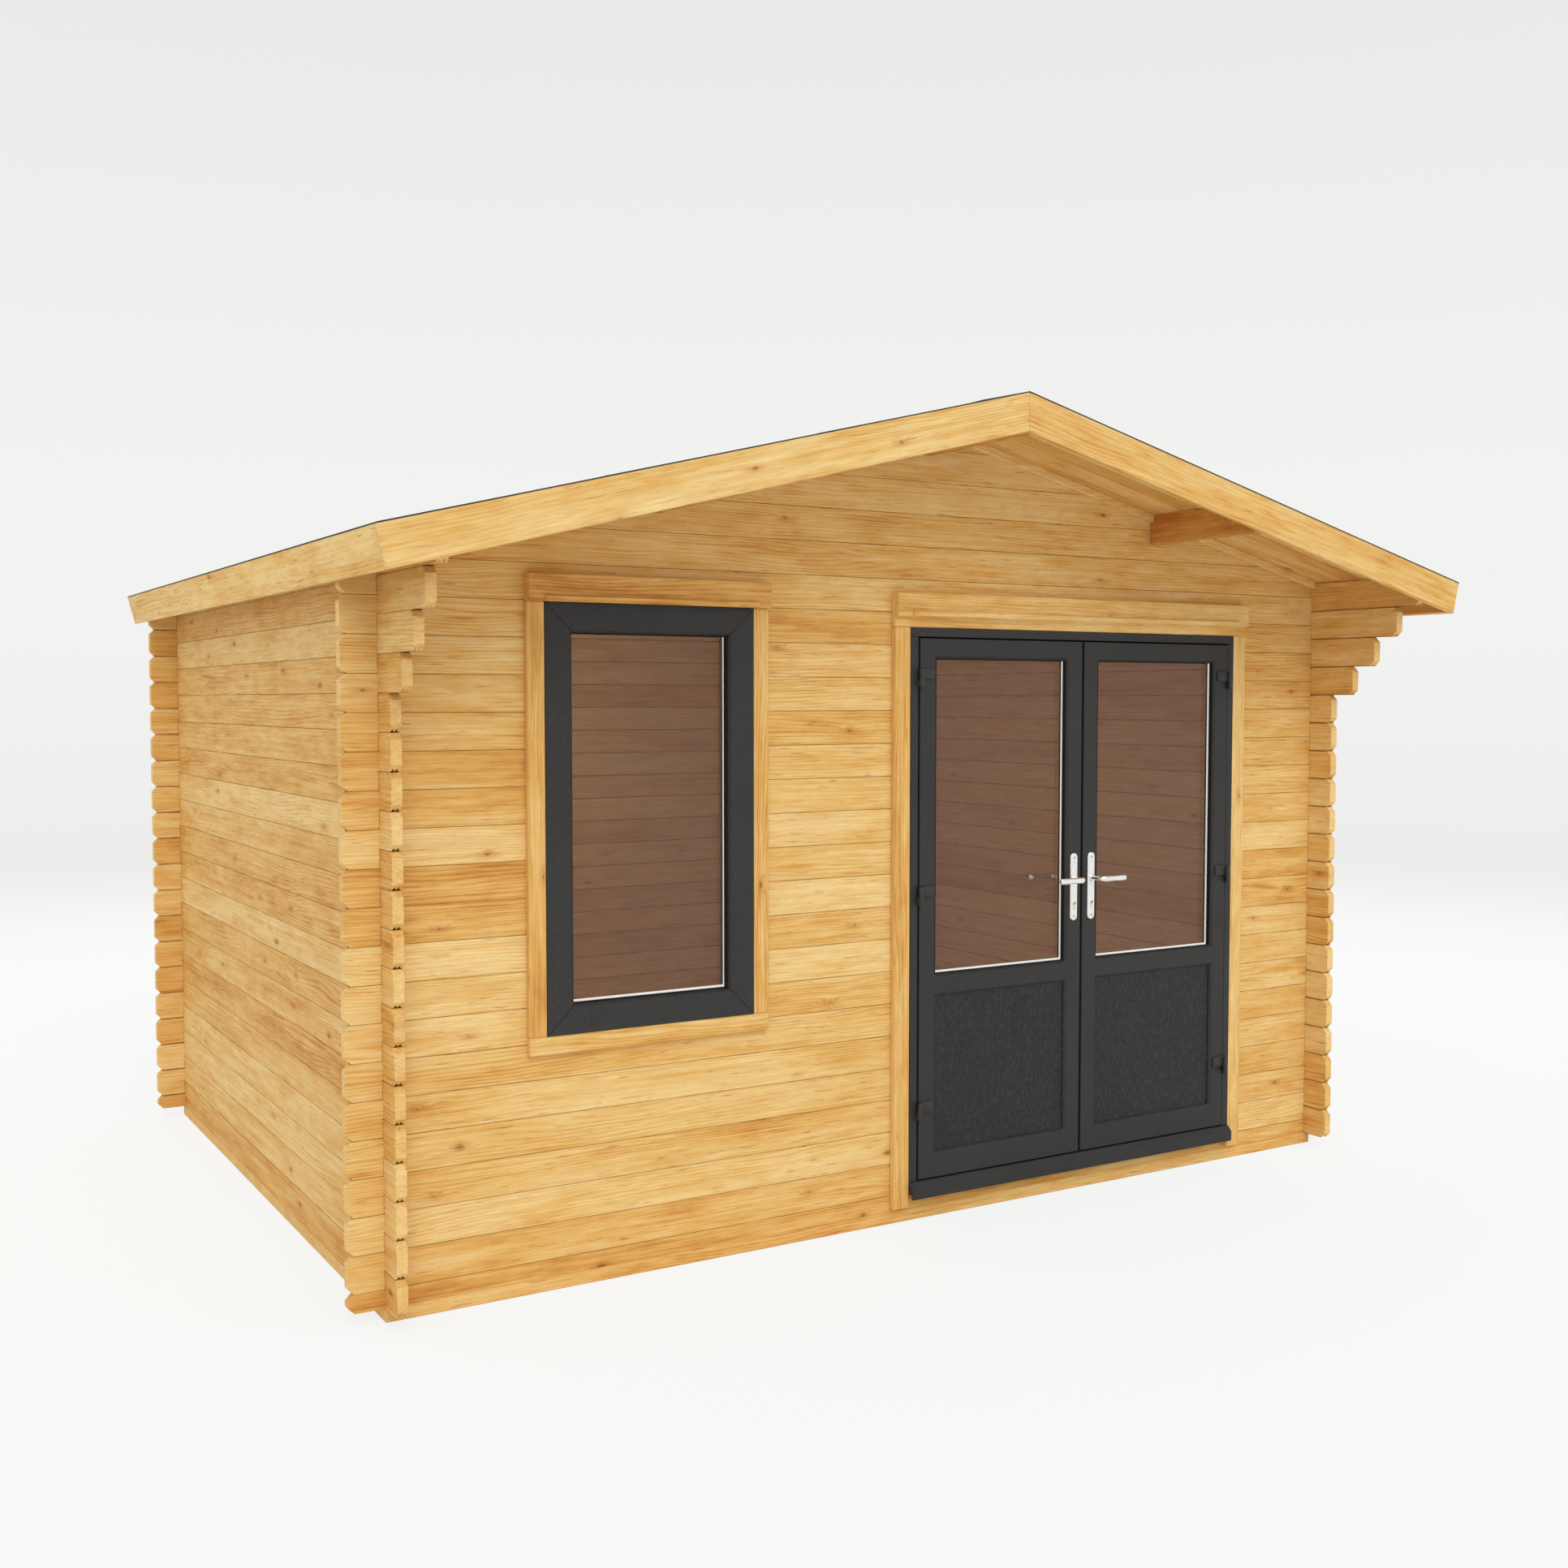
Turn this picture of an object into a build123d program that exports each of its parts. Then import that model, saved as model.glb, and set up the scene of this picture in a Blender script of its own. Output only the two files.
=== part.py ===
from build123d import *
from math import cos, radians, sin, tan
import os

# Log cabin with a gable roof, a pair of glazed doors and one fixed window.
# Millimetres, +Z up, the front towards -Y, origin on the ground under the middle of the roof.

# Overall sizes
cabin_width = 3942  # over the outer faces of the side walls
cabin_depth = 2910  # over the outer faces of the front and back walls
roof_pitch = 14  # degrees
overrun = 60  # how far a cut runs past the piece
front_stretch_shares = (512, 631, 503)  # of the front wall left of, between and right of the openings

# Logs: planed boards with two V tongues side by side, halved over each other at the corners
log_t = 34
course = 114
course_gap = 0.3
side_course_count = 20
log_tail = 112
end_chamfer = 20
notch_gap = 0.3
tongue_h = 10
tongue_w = 11
tongue_gap = 0.8
corbel_count = 3
corbel_step = 104
least_log_h = 40
window_first_row = 6
door_head_row = 18

# Foundation and floor
sill_w = 58
sill_h = 44
joist_w = 44
joist_count = 5
floor_t = 19
floor_gap = 5
butt_gap = 0.3

# Roof
front_overhang = 527  # wall face to the back of the bargeboard
back_overhang = 116
eave_overhang = 172  # wall face to the outer top edge of the fascia
roof_board_t = 19
felt_t = 3
felt_gap = 0.3  # between the two sheets at the ridge
barge_w = 122
barge_t = 20
purlin_place_share = 0.53  # inner face of a side purlin, of the way from the ridge to the wall's outer face
purlin_t = 44
purlin_h = 112
ridge_purlin_t = 48
purlin_gap = 0.3
batten_w = 28
batten_t = 20

# Window
window_w = 736
window_packer_h = 23
window_face = 92
window_head_gap = 5
frame_gap = 2  # between a frame and the sawn log ends
frame_depth = 70
frame_proud = 26  # how far a frame stands in front of the wall
glass_t = 24
glass_bite = 14  # how far a pane runs into its groove
glass_gap = 0.3
bead_bevel = 9

# Door frame and threshold
door_w = 1560
door_packer_h = 53
jamb_face = 32
stop_w = 20
stop_t = 19
threshold_h = 44
threshold_nose = 24  # past the front of the frame
threshold_lip_t = 10
threshold_lip_drop = 15
threshold_slope_h = 20

# Door leaves
leaf_t = 50
leaf_proud = 4  # in front of the frame
leaf_gap = 5
meeting_gap = 10
stile_w = 72
top_rail_w = 69
middle_rail_w = 77
bottom_rail_w = 93
panel_h = 557

# Hinges
hinge_height_shares = (0.11, 0.51, 0.91)  # of the leaf's height
hinge_clear_x = 2  # axis outside the edge of the leaf
hinge_clear_y = 13  # axis in front of the face of the leaf
knuckle_d = 20
knuckle_h = 29
knuckle_sides = 8
flag_h = 38
flag_w = 60
flag_t = 9
pin_d = 8
pin_sides = 6
pin_share = 0.7  # of the flag's height
pin_gap = 0.3
knuckle_gap = 0.5

# Handles
plate_h = 254
plate_w = 34
plate_t = 8
plate_end_sides = 12
plate_from_edge = 37  # middle of the plate to the free edge of its leaf
lever_height = 1033  # above the bottom of the leaf
lever_above_plate_middle = 30
lever_d = 17
lever_reach = 58
lever_length = 117
lever_sides = 8
lever_tip_chamfer = 2
lever_gap = 0.5
spindle_w = 8
spindle_bore_d = 15
spindle_bore_sides = 8

# Trim boards
trim_t = 24
door_trim_w = 66
door_trim_base = 11  # above the top of the foundation
door_head_show = 37
door_head_cover_h = 83
window_trim_w = 58
window_head_cover_h = 85
cover_t = 20
drip_h = 18
drip_t = 14
drip_past = 6  # past the frame at each end
trim_gap = 0.3

# Places worked out from the sizes above
half_width = cabin_width / 2
roof_length = barge_t + front_overhang + cabin_depth + back_overhang + barge_t
roof_front = -roof_length / 2
roof_back = roof_length / 2
front_y = roof_front + barge_t + front_overhang
back_y = front_y + cabin_depth
inner_front = front_y - front_overhang
inner_back = back_y + back_overhang
eave_z = sill_h + side_course_count * course
slope_cos = cos(radians(roof_pitch))
slope_sin = sin(radians(roof_pitch))
slope_tan = tan(radians(roof_pitch))
ridge_z = eave_z + half_width * slope_tan
purlin_x = half_width * purlin_place_share
fascia_s = (half_width + eave_overhang - roof_board_t * slope_sin) / slope_cos
log_h = course - course_gap
notch_w = log_t + 2 * notch_gap
half_log_top = sill_h + course / 2

frame_face_y = front_y - frame_proud
stretch_unit = (cabin_width - window_w - door_w) / sum(front_stretch_shares)
window_left = front_stretch_shares[0] * stretch_unit - half_width
window_right = window_left + window_w
window_base = half_log_top + window_first_row * course
opening_top = half_log_top + door_head_row * course
window_bottom = window_base + window_packer_h
window_top = opening_top - window_head_gap
door_right = half_width - front_stretch_shares[2] * stretch_unit
door_left = door_right - door_w
door_top = opening_top - door_packer_h
threshold_top = half_log_top + threshold_h
leaf_bottom = threshold_top + leaf_gap
leaf_top = door_top - jamb_face - leaf_gap
leaf_face_y = frame_face_y - leaf_proud
leaf_back_y = leaf_face_y + leaf_t
door_middle = door_left + door_w / 2
leaf_w = door_w / 2 - jamb_face - leaf_gap - meeting_gap / 2

os.makedirs("parts", exist_ok=True)


def finish(node, name):
    """Label a finished node and write it out."""
    node.label = name
    export_step(node, f"parts/{name}.step")


def upright(y):
    """A plane across the cabin at y: local x is +X, local y is up, it looks towards the front."""
    return Plane(origin=(0, y, 0), x_dir=(1, 0, 0), z_dir=(0, -1, 0))


def lengthwise(x):
    """A plane along the cabin at x: local x is +Y, local y is up."""
    return Plane(origin=(x, 0, 0), x_dir=(0, 1, 0), z_dir=(1, 0, 0))


def polygon(points):
    """A closed face from its corners, in the sketch that is open."""
    with BuildLine() as outline:
        Polyline(*points, close=True)
    make_face(outline.edges())


def panel(x0, z0, x1, z1, mode=Mode.ADD):
    """A rectangle between two corners, in the sketch that is open."""
    with Locations(((x0 + x1) / 2, (z0 + z1) / 2)):
        Rectangle(x1 - x0, z1 - z0, mode=mode)


def slope_point(side, s, t):
    """A point s down the slope from the ridge and t above the underside of the roof."""
    return (side * (s * slope_cos + t * slope_sin), ridge_z - s * slope_sin + t * slope_cos)


def roof_line(x):
    """Height of the underside of the roof at x."""
    return ridge_z - abs(x) * slope_tan


# The space below the roof, and the room that the three purlins take in the gables
with BuildPart() as roof_space:
    space_x = half_width + eave_overhang + overrun
    with BuildSketch(upright(roof_back + overrun)):
        polygon([(-space_x, 0), (space_x, 0), (space_x, roof_line(space_x)), (0, ridge_z),
                 (-space_x, roof_line(space_x))])
    extrude(amount=roof_length + 2 * overrun)

with BuildPart() as purlin_room:
    room_top = ridge_z + overrun
    with BuildSketch(upright(roof_back)):
        room_w = purlin_t + 2 * purlin_gap
        room_foot = roof_line(purlin_x) - purlin_h - purlin_gap
        for side in (-1, 1):
            room_x = side * (purlin_x + purlin_t / 2)
            panel(room_x - room_w / 2, room_foot, room_x + room_w / 2, room_top)
        ridge_room = ridge_purlin_t / 2 + purlin_gap
        panel(-ridge_room, ridge_z - purlin_h - purlin_gap, ridge_room, room_top)
    extrude(amount=roof_length)


# Log walls


def log_outline(x0, x1, base, height, crossings, tails, tongue):
    """Side view of one log: chamfered tails, a notch below each crossing log, a tongue on top."""
    top = base + height
    cut0 = end_chamfer if tails[0] else 0
    cut1 = end_chamfer if tails[1] else 0
    points = [(x0 + cut0, base)]
    for middle in crossings:
        points += [
            (middle - notch_w / 2, base),
            (middle - notch_w / 2, base + course / 2),
            (middle + notch_w / 2, base + course / 2),
            (middle + notch_w / 2, base),
        ]
    points += [(x1 - cut1, base)]
    if tails[1]:
        points += [(x1, base + end_chamfer), (x1, top - end_chamfer)]
    points += [(x1 - cut1, top)]
    if tongue:
        tongue0 = crossings[0] + notch_w / 2 if tails[0] else x0
        tongue1 = crossings[-1] - notch_w / 2 if tails[1] else x1
        ridge = top + tongue_h
        points += [(tongue1, top)] if tails[1] else []
        points += [(tongue1, ridge), (tongue0, ridge)]
        points += [(tongue0, top)] if tails[0] else []
    points += [(x0 + cut0, top)]
    if tails[0]:
        points += [(x0, top - end_chamfer), (x0, base + end_chamfer)]
    return [point for place, point in enumerate(points) if point != points[place - 1]]


def log_section(base, height, tongue):
    """End view of one log: two V grooves side by side below, two V tongues above."""
    groove_w = tongue_w + tongue_gap
    groove_top = base + tongue_h + tongue_gap
    top = base + height
    ridge = top + tongue_h
    points = [(-log_t / 2, base), (-groove_w, base), (-groove_w / 2, groove_top), (0, base)]
    points += [(groove_w / 2, groove_top), (groove_w, base), (log_t / 2, base), (log_t / 2, top)]
    if tongue:
        points += [(tongue_w, top), (tongue_w / 2, ridge), (0, top), (-tongue_w / 2, ridge), (-tongue_w, top)]
    return points + [(-log_t / 2, top)]


def make_log(wall, x0, x1, base, crossings=(), tails=(False, False), height=log_h, tongue=True):
    """One log of a wall, from x0 to x1 along the wall's plane."""
    start = Plane(origin=wall.from_local_coords((x0, 0, 0)), x_dir=-wall.z_dir, z_dir=wall.x_dir)
    with BuildPart() as log:
        with BuildSketch(wall):
            polygon(log_outline(x0, x1, base, height, crossings, tails, tongue))
        extrude(amount=log_t / 2, both=True)
        with BuildSketch(start):
            polygon(log_section(base, height, tongue))
        extrude(amount=x1 - x0, mode=Mode.INTERSECT)
    return log.part


def row_base(row):
    """Foot of a numbered course of the front and back walls, above the half log."""
    return half_log_top + row * course


def courses_up(count):
    """Places for a number of like logs, one course above the other."""
    return [(0, 0, row * course) for row in range(count)]


corner_x = half_width - log_t / 2
tail_x = half_width + log_tail
both = (True, True)
front_wall = upright(front_y + log_t / 2)
corner_xs = (-corner_x, corner_x)
left_end = dict(crossings=(-corner_x,), tails=(True, False))
right_end = dict(crossings=(corner_x,), tails=(False, True))
window_cut_left = window_left - frame_gap
window_cut_right = window_right + frame_gap
door_cut_left = door_left - frame_gap
door_cut_right = door_right + frame_gap
window_row_count = door_head_row - window_first_row

half_log = make_log(front_wall, -tail_x, tail_x, sill_h, (), both, course / 2 - course_gap, False)
with BuildPart() as front_wall_base_log:
    add(half_log)
finish(front_wall_base_log.part, "front_wall_base_log")

with BuildPart() as front_wall_under_window_logs:
    log = make_log(front_wall, -tail_x, door_cut_left, row_base(0), **left_end)
    with Locations(*courses_up(window_first_row)):
        add(log)
    # The tongue is planed off where the window stands on the wall
    with BuildSketch(upright(front_y)):
        panel(window_cut_left, window_base - course_gap, window_cut_right, window_base + overrun)
    extrude(amount=-log_t, mode=Mode.SUBTRACT)
finish(front_wall_under_window_logs.part, "front_wall_under_window_logs")

with BuildPart() as front_wall_left_logs:
    log = make_log(front_wall, -tail_x, window_cut_left, window_base, **left_end)
    with Locations(*courses_up(window_row_count)):
        add(log)
finish(front_wall_left_logs.part, "front_wall_left_logs")

with BuildPart() as front_wall_middle_logs:
    log = make_log(front_wall, window_cut_right, door_cut_left, window_base)
    with Locations(*courses_up(window_row_count)):
        add(log)
finish(front_wall_middle_logs.part, "front_wall_middle_logs")

with BuildPart() as front_wall_right_logs:
    log = make_log(front_wall, door_cut_right, tail_x, row_base(0), **right_end)
    with Locations(*courses_up(door_head_row)):
        add(log)
finish(front_wall_right_logs.part, "front_wall_right_logs")

# The courses above the eaves reach in between the side walls and are cut by the roof and the purlins
with BuildPart() as gable_logs:
    reach = half_width - log_t - notch_gap
    base = row_base(side_course_count - 1)
    while base < ridge_z:
        last = ridge_z - base - course < least_log_h
        gable_h = ridge_z - base if last else log_h
        add(make_log(front_wall, -reach, reach, base, height=gable_h, tongue=not last))
        base = ridge_z if last else base + course
    add(roof_space.part, mode=Mode.INTERSECT)
    add(purlin_room.part, mode=Mode.SUBTRACT)

with BuildPart() as front_gable_logs:
    log = make_log(front_wall, -tail_x, tail_x, row_base(door_head_row), corner_xs, both)
    with Locations(*courses_up(side_course_count - 1 - door_head_row)):
        add(log)
    add(gable_logs.part)
finish(front_gable_logs.part, "front_gable_logs")

with BuildPart() as back_wall_logs:
    log = make_log(front_wall, -tail_x, tail_x, row_base(0), corner_xs, both)
    to_back = cabin_depth - log_t
    with Locations(*[(0, to_back, rise) for _, _, rise in courses_up(side_course_count - 1)]):
        add(log)
    with Locations((0, to_back, 0)):
        add(half_log)
        add(gable_logs.part)
finish(back_wall_logs.part, "back_wall_logs")

# Side walls: plain courses, corbels that step forward under the eave, and an eave log cut by the roof
left_wall = lengthwise(-corner_x)
corner_ys = (front_y + log_t / 2, back_y - log_t / 2)
plain_count = side_course_count - 1 - corbel_count
with BuildPart() as eave_log:
    eave_h = course + log_t * slope_tan
    add(make_log(left_wall, inner_front, inner_back, eave_z - course, corner_ys, both, eave_h, False))
    add(roof_space.part, mode=Mode.INTERSECT)

with BuildPart() as left_wall_logs:
    tail_front = front_y - log_tail
    tail_back = back_y + log_tail
    log = make_log(left_wall, tail_front, tail_back, sill_h, corner_ys, both)
    with Locations(*courses_up(plain_count)):
        add(log)
    for step in range(corbel_count):
        corbel_front = tail_front - (step + 1) * corbel_step
        corbel_base = sill_h + (plain_count + step) * course
        under_eave = step == corbel_count - 1
        add(make_log(left_wall, corbel_front, tail_back, corbel_base, corner_ys, both, tongue=not under_eave))
    add(eave_log.part)
finish(left_wall_logs.part, "left_wall_logs")

with BuildPart() as right_wall_logs:
    mirror(left_wall_logs.part, about=Plane.YZ)
finish(right_wall_logs.part, "right_wall_logs")

# Foundation and floor
with BuildPart() as foundation_sills:
    with BuildSketch():
        for side in (-1, 1):
            with Locations((side * (half_width - sill_w / 2), front_y + cabin_depth / 2)):
                Rectangle(sill_w, cabin_depth)
        for middle in (front_y + sill_w / 2, back_y - sill_w / 2):
            with Locations((0, middle)):
                Rectangle(cabin_width - 2 * sill_w - 2 * butt_gap, sill_w)
    extrude(amount=sill_h)
finish(foundation_sills.part, "foundation_sills")

joist_run = cabin_depth - 2 * sill_w - 2 * butt_gap
joist_pitch = (cabin_width - 2 * sill_w) / (joist_count + 1)
with BuildPart() as floor_joists:
    with BuildSketch():
        with Locations((0, front_y + cabin_depth / 2)):
            with GridLocations(joist_pitch, joist_run, joist_count, 1):
                Rectangle(joist_w, joist_run)
    extrude(amount=sill_h)
finish(floor_joists.part, "floor_joists")

with BuildPart() as floor_boards:
    with BuildSketch(Plane.XY.offset(sill_h)):
        with Locations((0, front_y + cabin_depth / 2)):
            Rectangle(cabin_width - 2 * log_t - 2 * floor_gap, cabin_depth - 2 * log_t - 2 * floor_gap)
    extrude(amount=floor_t)
finish(floor_boards.part, "floor_boards")


# Roof


def slope_bar(name, side, s0, s1, t0, t1, y0, y1):
    """A board of one roof slope; with no s0 it is mitred on the ridge."""
    if s0 is None:
        upper = [(0, ridge_z + t0 / slope_cos), (0, ridge_z + t1 / slope_cos)]
    else:
        upper = [slope_point(side, s0, t0), slope_point(side, s0, t1)]
    with BuildPart() as bar:
        with BuildSketch(upright(y1)):
            polygon(upper + [slope_point(side, s1, t1), slope_point(side, s1, t0)])
        extrude(amount=y1 - y0)
    finish(bar.part, name)


inner_s = fascia_s - barge_t
barge_ts = (roof_board_t - barge_w, roof_board_t)
inner_ys = (inner_front, inner_back)
for side, hand in ((-1, "left"), (1, "right")):
    slope_bar(f"{hand}_roof_boards", side, None, inner_s, 0, roof_board_t, *inner_ys)
    slope_bar(f"{hand}_eave_fascia", side, inner_s, fascia_s, *barge_ts, *inner_ys)
    slope_bar(f"front_{hand}_bargeboard", side, None, fascia_s, *barge_ts, roof_front, inner_front)
    slope_bar(f"back_{hand}_bargeboard", side, None, fascia_s, *barge_ts, inner_back, roof_back)

felt_top = roof_board_t + felt_t
with BuildPart() as roof_felt:
    with BuildSketch(upright(roof_back)):
        for side in (-1, 1):
            felt_x = side * felt_gap / 2
            polygon([
                (felt_x, roof_line(felt_x) + felt_top / slope_cos),
                slope_point(side, fascia_s, felt_top),
                slope_point(side, fascia_s, roof_board_t),
                (felt_x, roof_line(felt_x) + roof_board_t / slope_cos),
            ])
    extrude(amount=roof_length)
finish(roof_felt.part, "roof_felt")


def purlin(name, x0, x1, foot):
    """A purlin between the bargeboards, its top bevelled to the roof."""
    with BuildPart() as beam:
        with BuildSketch(upright(inner_back)):
            panel(x0, foot, x1, ridge_z)
        extrude(amount=inner_back - inner_front)
        add(roof_space.part, mode=Mode.INTERSECT)
    finish(beam.part, name)


purlin_foot = roof_line(purlin_x) - purlin_h
purlin("left_purlin", -purlin_x - purlin_t, -purlin_x, purlin_foot)
purlin("right_purlin", purlin_x, purlin_x + purlin_t, purlin_foot)
purlin("ridge_purlin", -ridge_purlin_t / 2, ridge_purlin_t / 2, ridge_z - purlin_h)

# Cover strips where the gables meet the roof, between the purlins
batten_spans = (
    (ridge_purlin_t / 2 + purlin_gap, purlin_x - purlin_gap),
    (purlin_x + purlin_t + purlin_gap, half_width - log_t - purlin_gap),
)
with BuildPart() as gable_battens:
    for far_y in (front_y, back_y + batten_t):
        with BuildSketch(upright(far_y)):
            for x0, x1 in batten_spans:
                for side in (-1, 1):
                    drop = batten_w / slope_cos
                    upper = [(side * x0, roof_line(x0)), (side * x1, roof_line(x1))]
                    lower = [(side * x1, roof_line(x1) - drop), (side * x0, roof_line(x0) - drop)]
                    polygon(upper + lower)
        extrude(amount=batten_t)
finish(gable_battens.part, "gable_battens")

# Window
with BuildPart() as window_frame:
    sight = (window_left + window_face, window_bottom + window_face,
             window_right - window_face, window_top - window_face)
    with BuildSketch(upright(frame_face_y)):
        panel(window_left, window_bottom, window_right, window_top)
        panel(*sight, mode=Mode.SUBTRACT)
    extrude(amount=-frame_depth)
    chamfer(window_frame.faces().sort_by(Axis.Y)[0].inner_wires()[0].edges(), length=bead_bevel)
    groove = glass_bite + glass_gap
    with BuildSketch(upright(frame_face_y + (frame_depth - glass_t) / 2 - glass_gap)):
        panel(sight[0] - groove, sight[1] - groove, sight[2] + groove, sight[3] + groove)
    extrude(amount=-glass_t - 2 * glass_gap, mode=Mode.SUBTRACT)
finish(window_frame.part, "window_frame")

with BuildPart() as window_glass:
    with BuildSketch(upright(frame_face_y + (frame_depth - glass_t) / 2)):
        panel(sight[0] - glass_bite, sight[1] - glass_bite, sight[2] + glass_bite, sight[3] + glass_bite)
    extrude(amount=-glass_t)
finish(window_glass.part, "window_glass")

# Timber packers that close the log openings round the frames
with BuildPart() as frame_packers:
    with BuildSketch(upright(front_y)):
        panel(window_left, window_base, window_right, window_bottom)
        panel(door_left, door_top, door_right, opening_top - course_gap)
    extrude(amount=-log_t)
finish(frame_packers.part, "frame_packers")


def head_trim(x0, x1, drip0, drip1, foot, cover_foot, top):
    """A head board with a cover board on its face and a drip strip along the cover's foot."""
    with BuildPart() as head:
        with BuildSketch(upright(front_y)):
            panel(x0, foot, x1, top)
        extrude(amount=trim_t)
        with BuildSketch(upright(front_y - trim_t)):
            panel(x0, cover_foot, x1, top)
        extrude(amount=cover_t)
        with BuildSketch(upright(front_y - trim_t - cover_t)):
            panel(drip0, cover_foot, drip1, cover_foot + drip_h)
        extrude(amount=drip_t)
    return head.part


outer_left = window_left - window_trim_w
outer_right = window_right + window_trim_w
head_foot = window_top + trim_gap
window_head = head_trim(outer_left, outer_right, window_left - drip_past, window_right + drip_past,
                        head_foot, head_foot, head_foot + window_head_cover_h)
with BuildPart() as window_trim:
    with BuildSketch(upright(front_y)):
        panel(outer_left, window_bottom - window_trim_w, outer_right, window_bottom)
        side_foot = window_bottom + trim_gap
        panel(outer_left, side_foot, window_left - trim_gap, window_top)
        panel(window_right + trim_gap, side_foot, outer_right, window_top)
    extrude(amount=trim_t)
    add(window_head)
finish(window_trim.part, "window_trim")

outer_left = door_left - door_trim_w
outer_right = door_right + door_trim_w
head_foot = door_top + trim_gap
cover_foot = head_foot + door_head_show
door_head = head_trim(outer_left, outer_right, door_left - drip_past, door_right + drip_past,
                      head_foot, cover_foot, cover_foot + door_head_cover_h)
with BuildPart() as door_trim:
    with BuildSketch(upright(front_y)):
        panel(outer_left, sill_h + door_trim_base, door_left - trim_gap, door_top)
        panel(door_right + trim_gap, sill_h + door_trim_base, outer_right, door_top)
    extrude(amount=trim_t)
    add(door_head)
finish(door_trim.part, "door_trim")

# Door frame: two jambs and a head, each with a stop behind the leaves
stop_y = frame_face_y + frame_depth - stop_t
frame_back_y = frame_face_y + frame_depth
jamb_top = door_top - jamb_face - butt_gap
with BuildPart() as door_frame:
    with BuildSketch(Plane.XY.offset(threshold_top)):
        for edge, inward in ((door_left, 1), (door_right, -1)):
            inner = edge + inward * jamb_face
            stop = inner + inward * stop_w
            polygon([(edge, frame_face_y), (inner, frame_face_y), (inner, stop_y), (stop, stop_y),
                     (stop, frame_back_y), (edge, frame_back_y)])
    extrude(amount=jamb_top - threshold_top)
    with BuildSketch(upright(frame_face_y)):
        panel(door_left, door_top - jamb_face, door_right, door_top)
    extrude(amount=-frame_depth)
    head_stop = jamb_face + stop_w + butt_gap
    head_foot = door_top - jamb_face
    with BuildSketch(upright(stop_y)):
        panel(door_left + head_stop, head_foot - stop_w, door_right - head_stop, head_foot)
    extrude(amount=-stop_t)
finish(door_frame.part, "door_frame")

with BuildPart() as door_threshold:
    nose_y = frame_face_y - threshold_nose
    lip_foot = half_log_top - threshold_lip_drop
    with BuildSketch(lengthwise(door_left)):
        polygon([
            (frame_back_y, half_log_top),
            (frame_back_y, threshold_top),
            (leaf_face_y, threshold_top),
            (nose_y, threshold_top - threshold_slope_h),
            (nose_y, lip_foot),
            (nose_y + threshold_lip_t, lip_foot),
            (nose_y + threshold_lip_t, half_log_top),
        ])
    extrude(amount=door_w)
finish(door_threshold.part, "door_threshold")

# Door leaves, hinges and handles; side -1 hangs on the left jamb, 1 on the right jamb
panel_foot = leaf_bottom + bottom_rail_w
panel_top = panel_foot + panel_h
pane_foot = panel_top + middle_rail_w
pane_top = leaf_top - top_rail_w
glazing_y = leaf_face_y + (leaf_t - glass_t) / 2
lever_z = leaf_bottom + lever_height
hinge_y = leaf_face_y - hinge_clear_y
hinge_zs = [leaf_bottom + share * (leaf_top - leaf_bottom) for share in hinge_height_shares]


def hinge_x(side):
    """Where the hinge axis of a leaf stands."""
    return door_middle + side * (meeting_gap / 2 + leaf_w + hinge_clear_x)


def leaf_span(side):
    """Left and right edges of a leaf."""
    near = door_middle + side * meeting_gap / 2
    far = near + side * leaf_w
    return min(near, far), max(near, far)


def plate_x(side):
    """Middle of a handle plate."""
    return door_middle + side * (meeting_gap / 2 + plate_from_edge)


# The fixed half of each hinge: a knuckle with its pin, carried on the face of a jamb
with BuildPart() as frame_hinge_knuckles:
    for side in (-1, 1):
        axis_x = hinge_x(side)
        for foot in hinge_zs:
            with BuildSketch(Plane.XY.offset(foot)):
                with Locations((axis_x, hinge_y)):
                    RegularPolygon(knuckle_d / 2, knuckle_sides)
                with Locations((axis_x + side * knuckle_d / 4, (hinge_y + frame_face_y) / 2)):
                    Rectangle(knuckle_d / 2, frame_face_y - hinge_y)
            extrude(amount=knuckle_h)
            with BuildSketch(Plane.XY.offset(foot + knuckle_h)):
                with Locations((axis_x, hinge_y)):
                    RegularPolygon(pin_d / 2, pin_sides)
            extrude(amount=flag_h * pin_share)
finish(frame_hinge_knuckles.part, "frame_hinge_knuckles")

with BuildPart() as spindle_bores:
    with BuildSketch(upright(leaf_face_y - overrun)):
        for side in (-1, 1):
            with Locations((plate_x(side), lever_z)):
                RegularPolygon(spindle_bore_d / 2, spindle_bore_sides, major_radius=False)
    extrude(amount=-leaf_t - 2 * overrun)


def leaf_frame(side, name):
    """Welded leaf: stiles and three rails, bevelled round the pane and the panel, which sit in grooves."""
    x0, x1 = leaf_span(side)
    sight0 = x0 + stile_w
    sight1 = x1 - stile_w
    with BuildPart() as leaf:
        with BuildSketch(upright(leaf_face_y)):
            panel(x0, leaf_bottom, x1, leaf_top)
            panel(sight0, pane_foot, sight1, pane_top, mode=Mode.SUBTRACT)
            panel(sight0, panel_foot, sight1, panel_top, mode=Mode.SUBTRACT)
        extrude(amount=-leaf_t)
        front = leaf.faces().sort_by(Axis.Y)[0]
        chamfer([edge for wire in front.inner_wires() for edge in wire.edges()], length=bead_bevel)
        groove = glass_bite + glass_gap
        with BuildSketch(upright(glazing_y - glass_gap)):
            panel(sight0 - groove, pane_foot - groove, sight1 + groove, pane_top + groove)
            panel(sight0 - groove, panel_foot - groove, sight1 + groove, panel_top + groove)
        extrude(amount=-glass_t - 2 * glass_gap, mode=Mode.SUBTRACT)
        add(spindle_bores.part, mode=Mode.SUBTRACT)
    finish(leaf.part, name)


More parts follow.
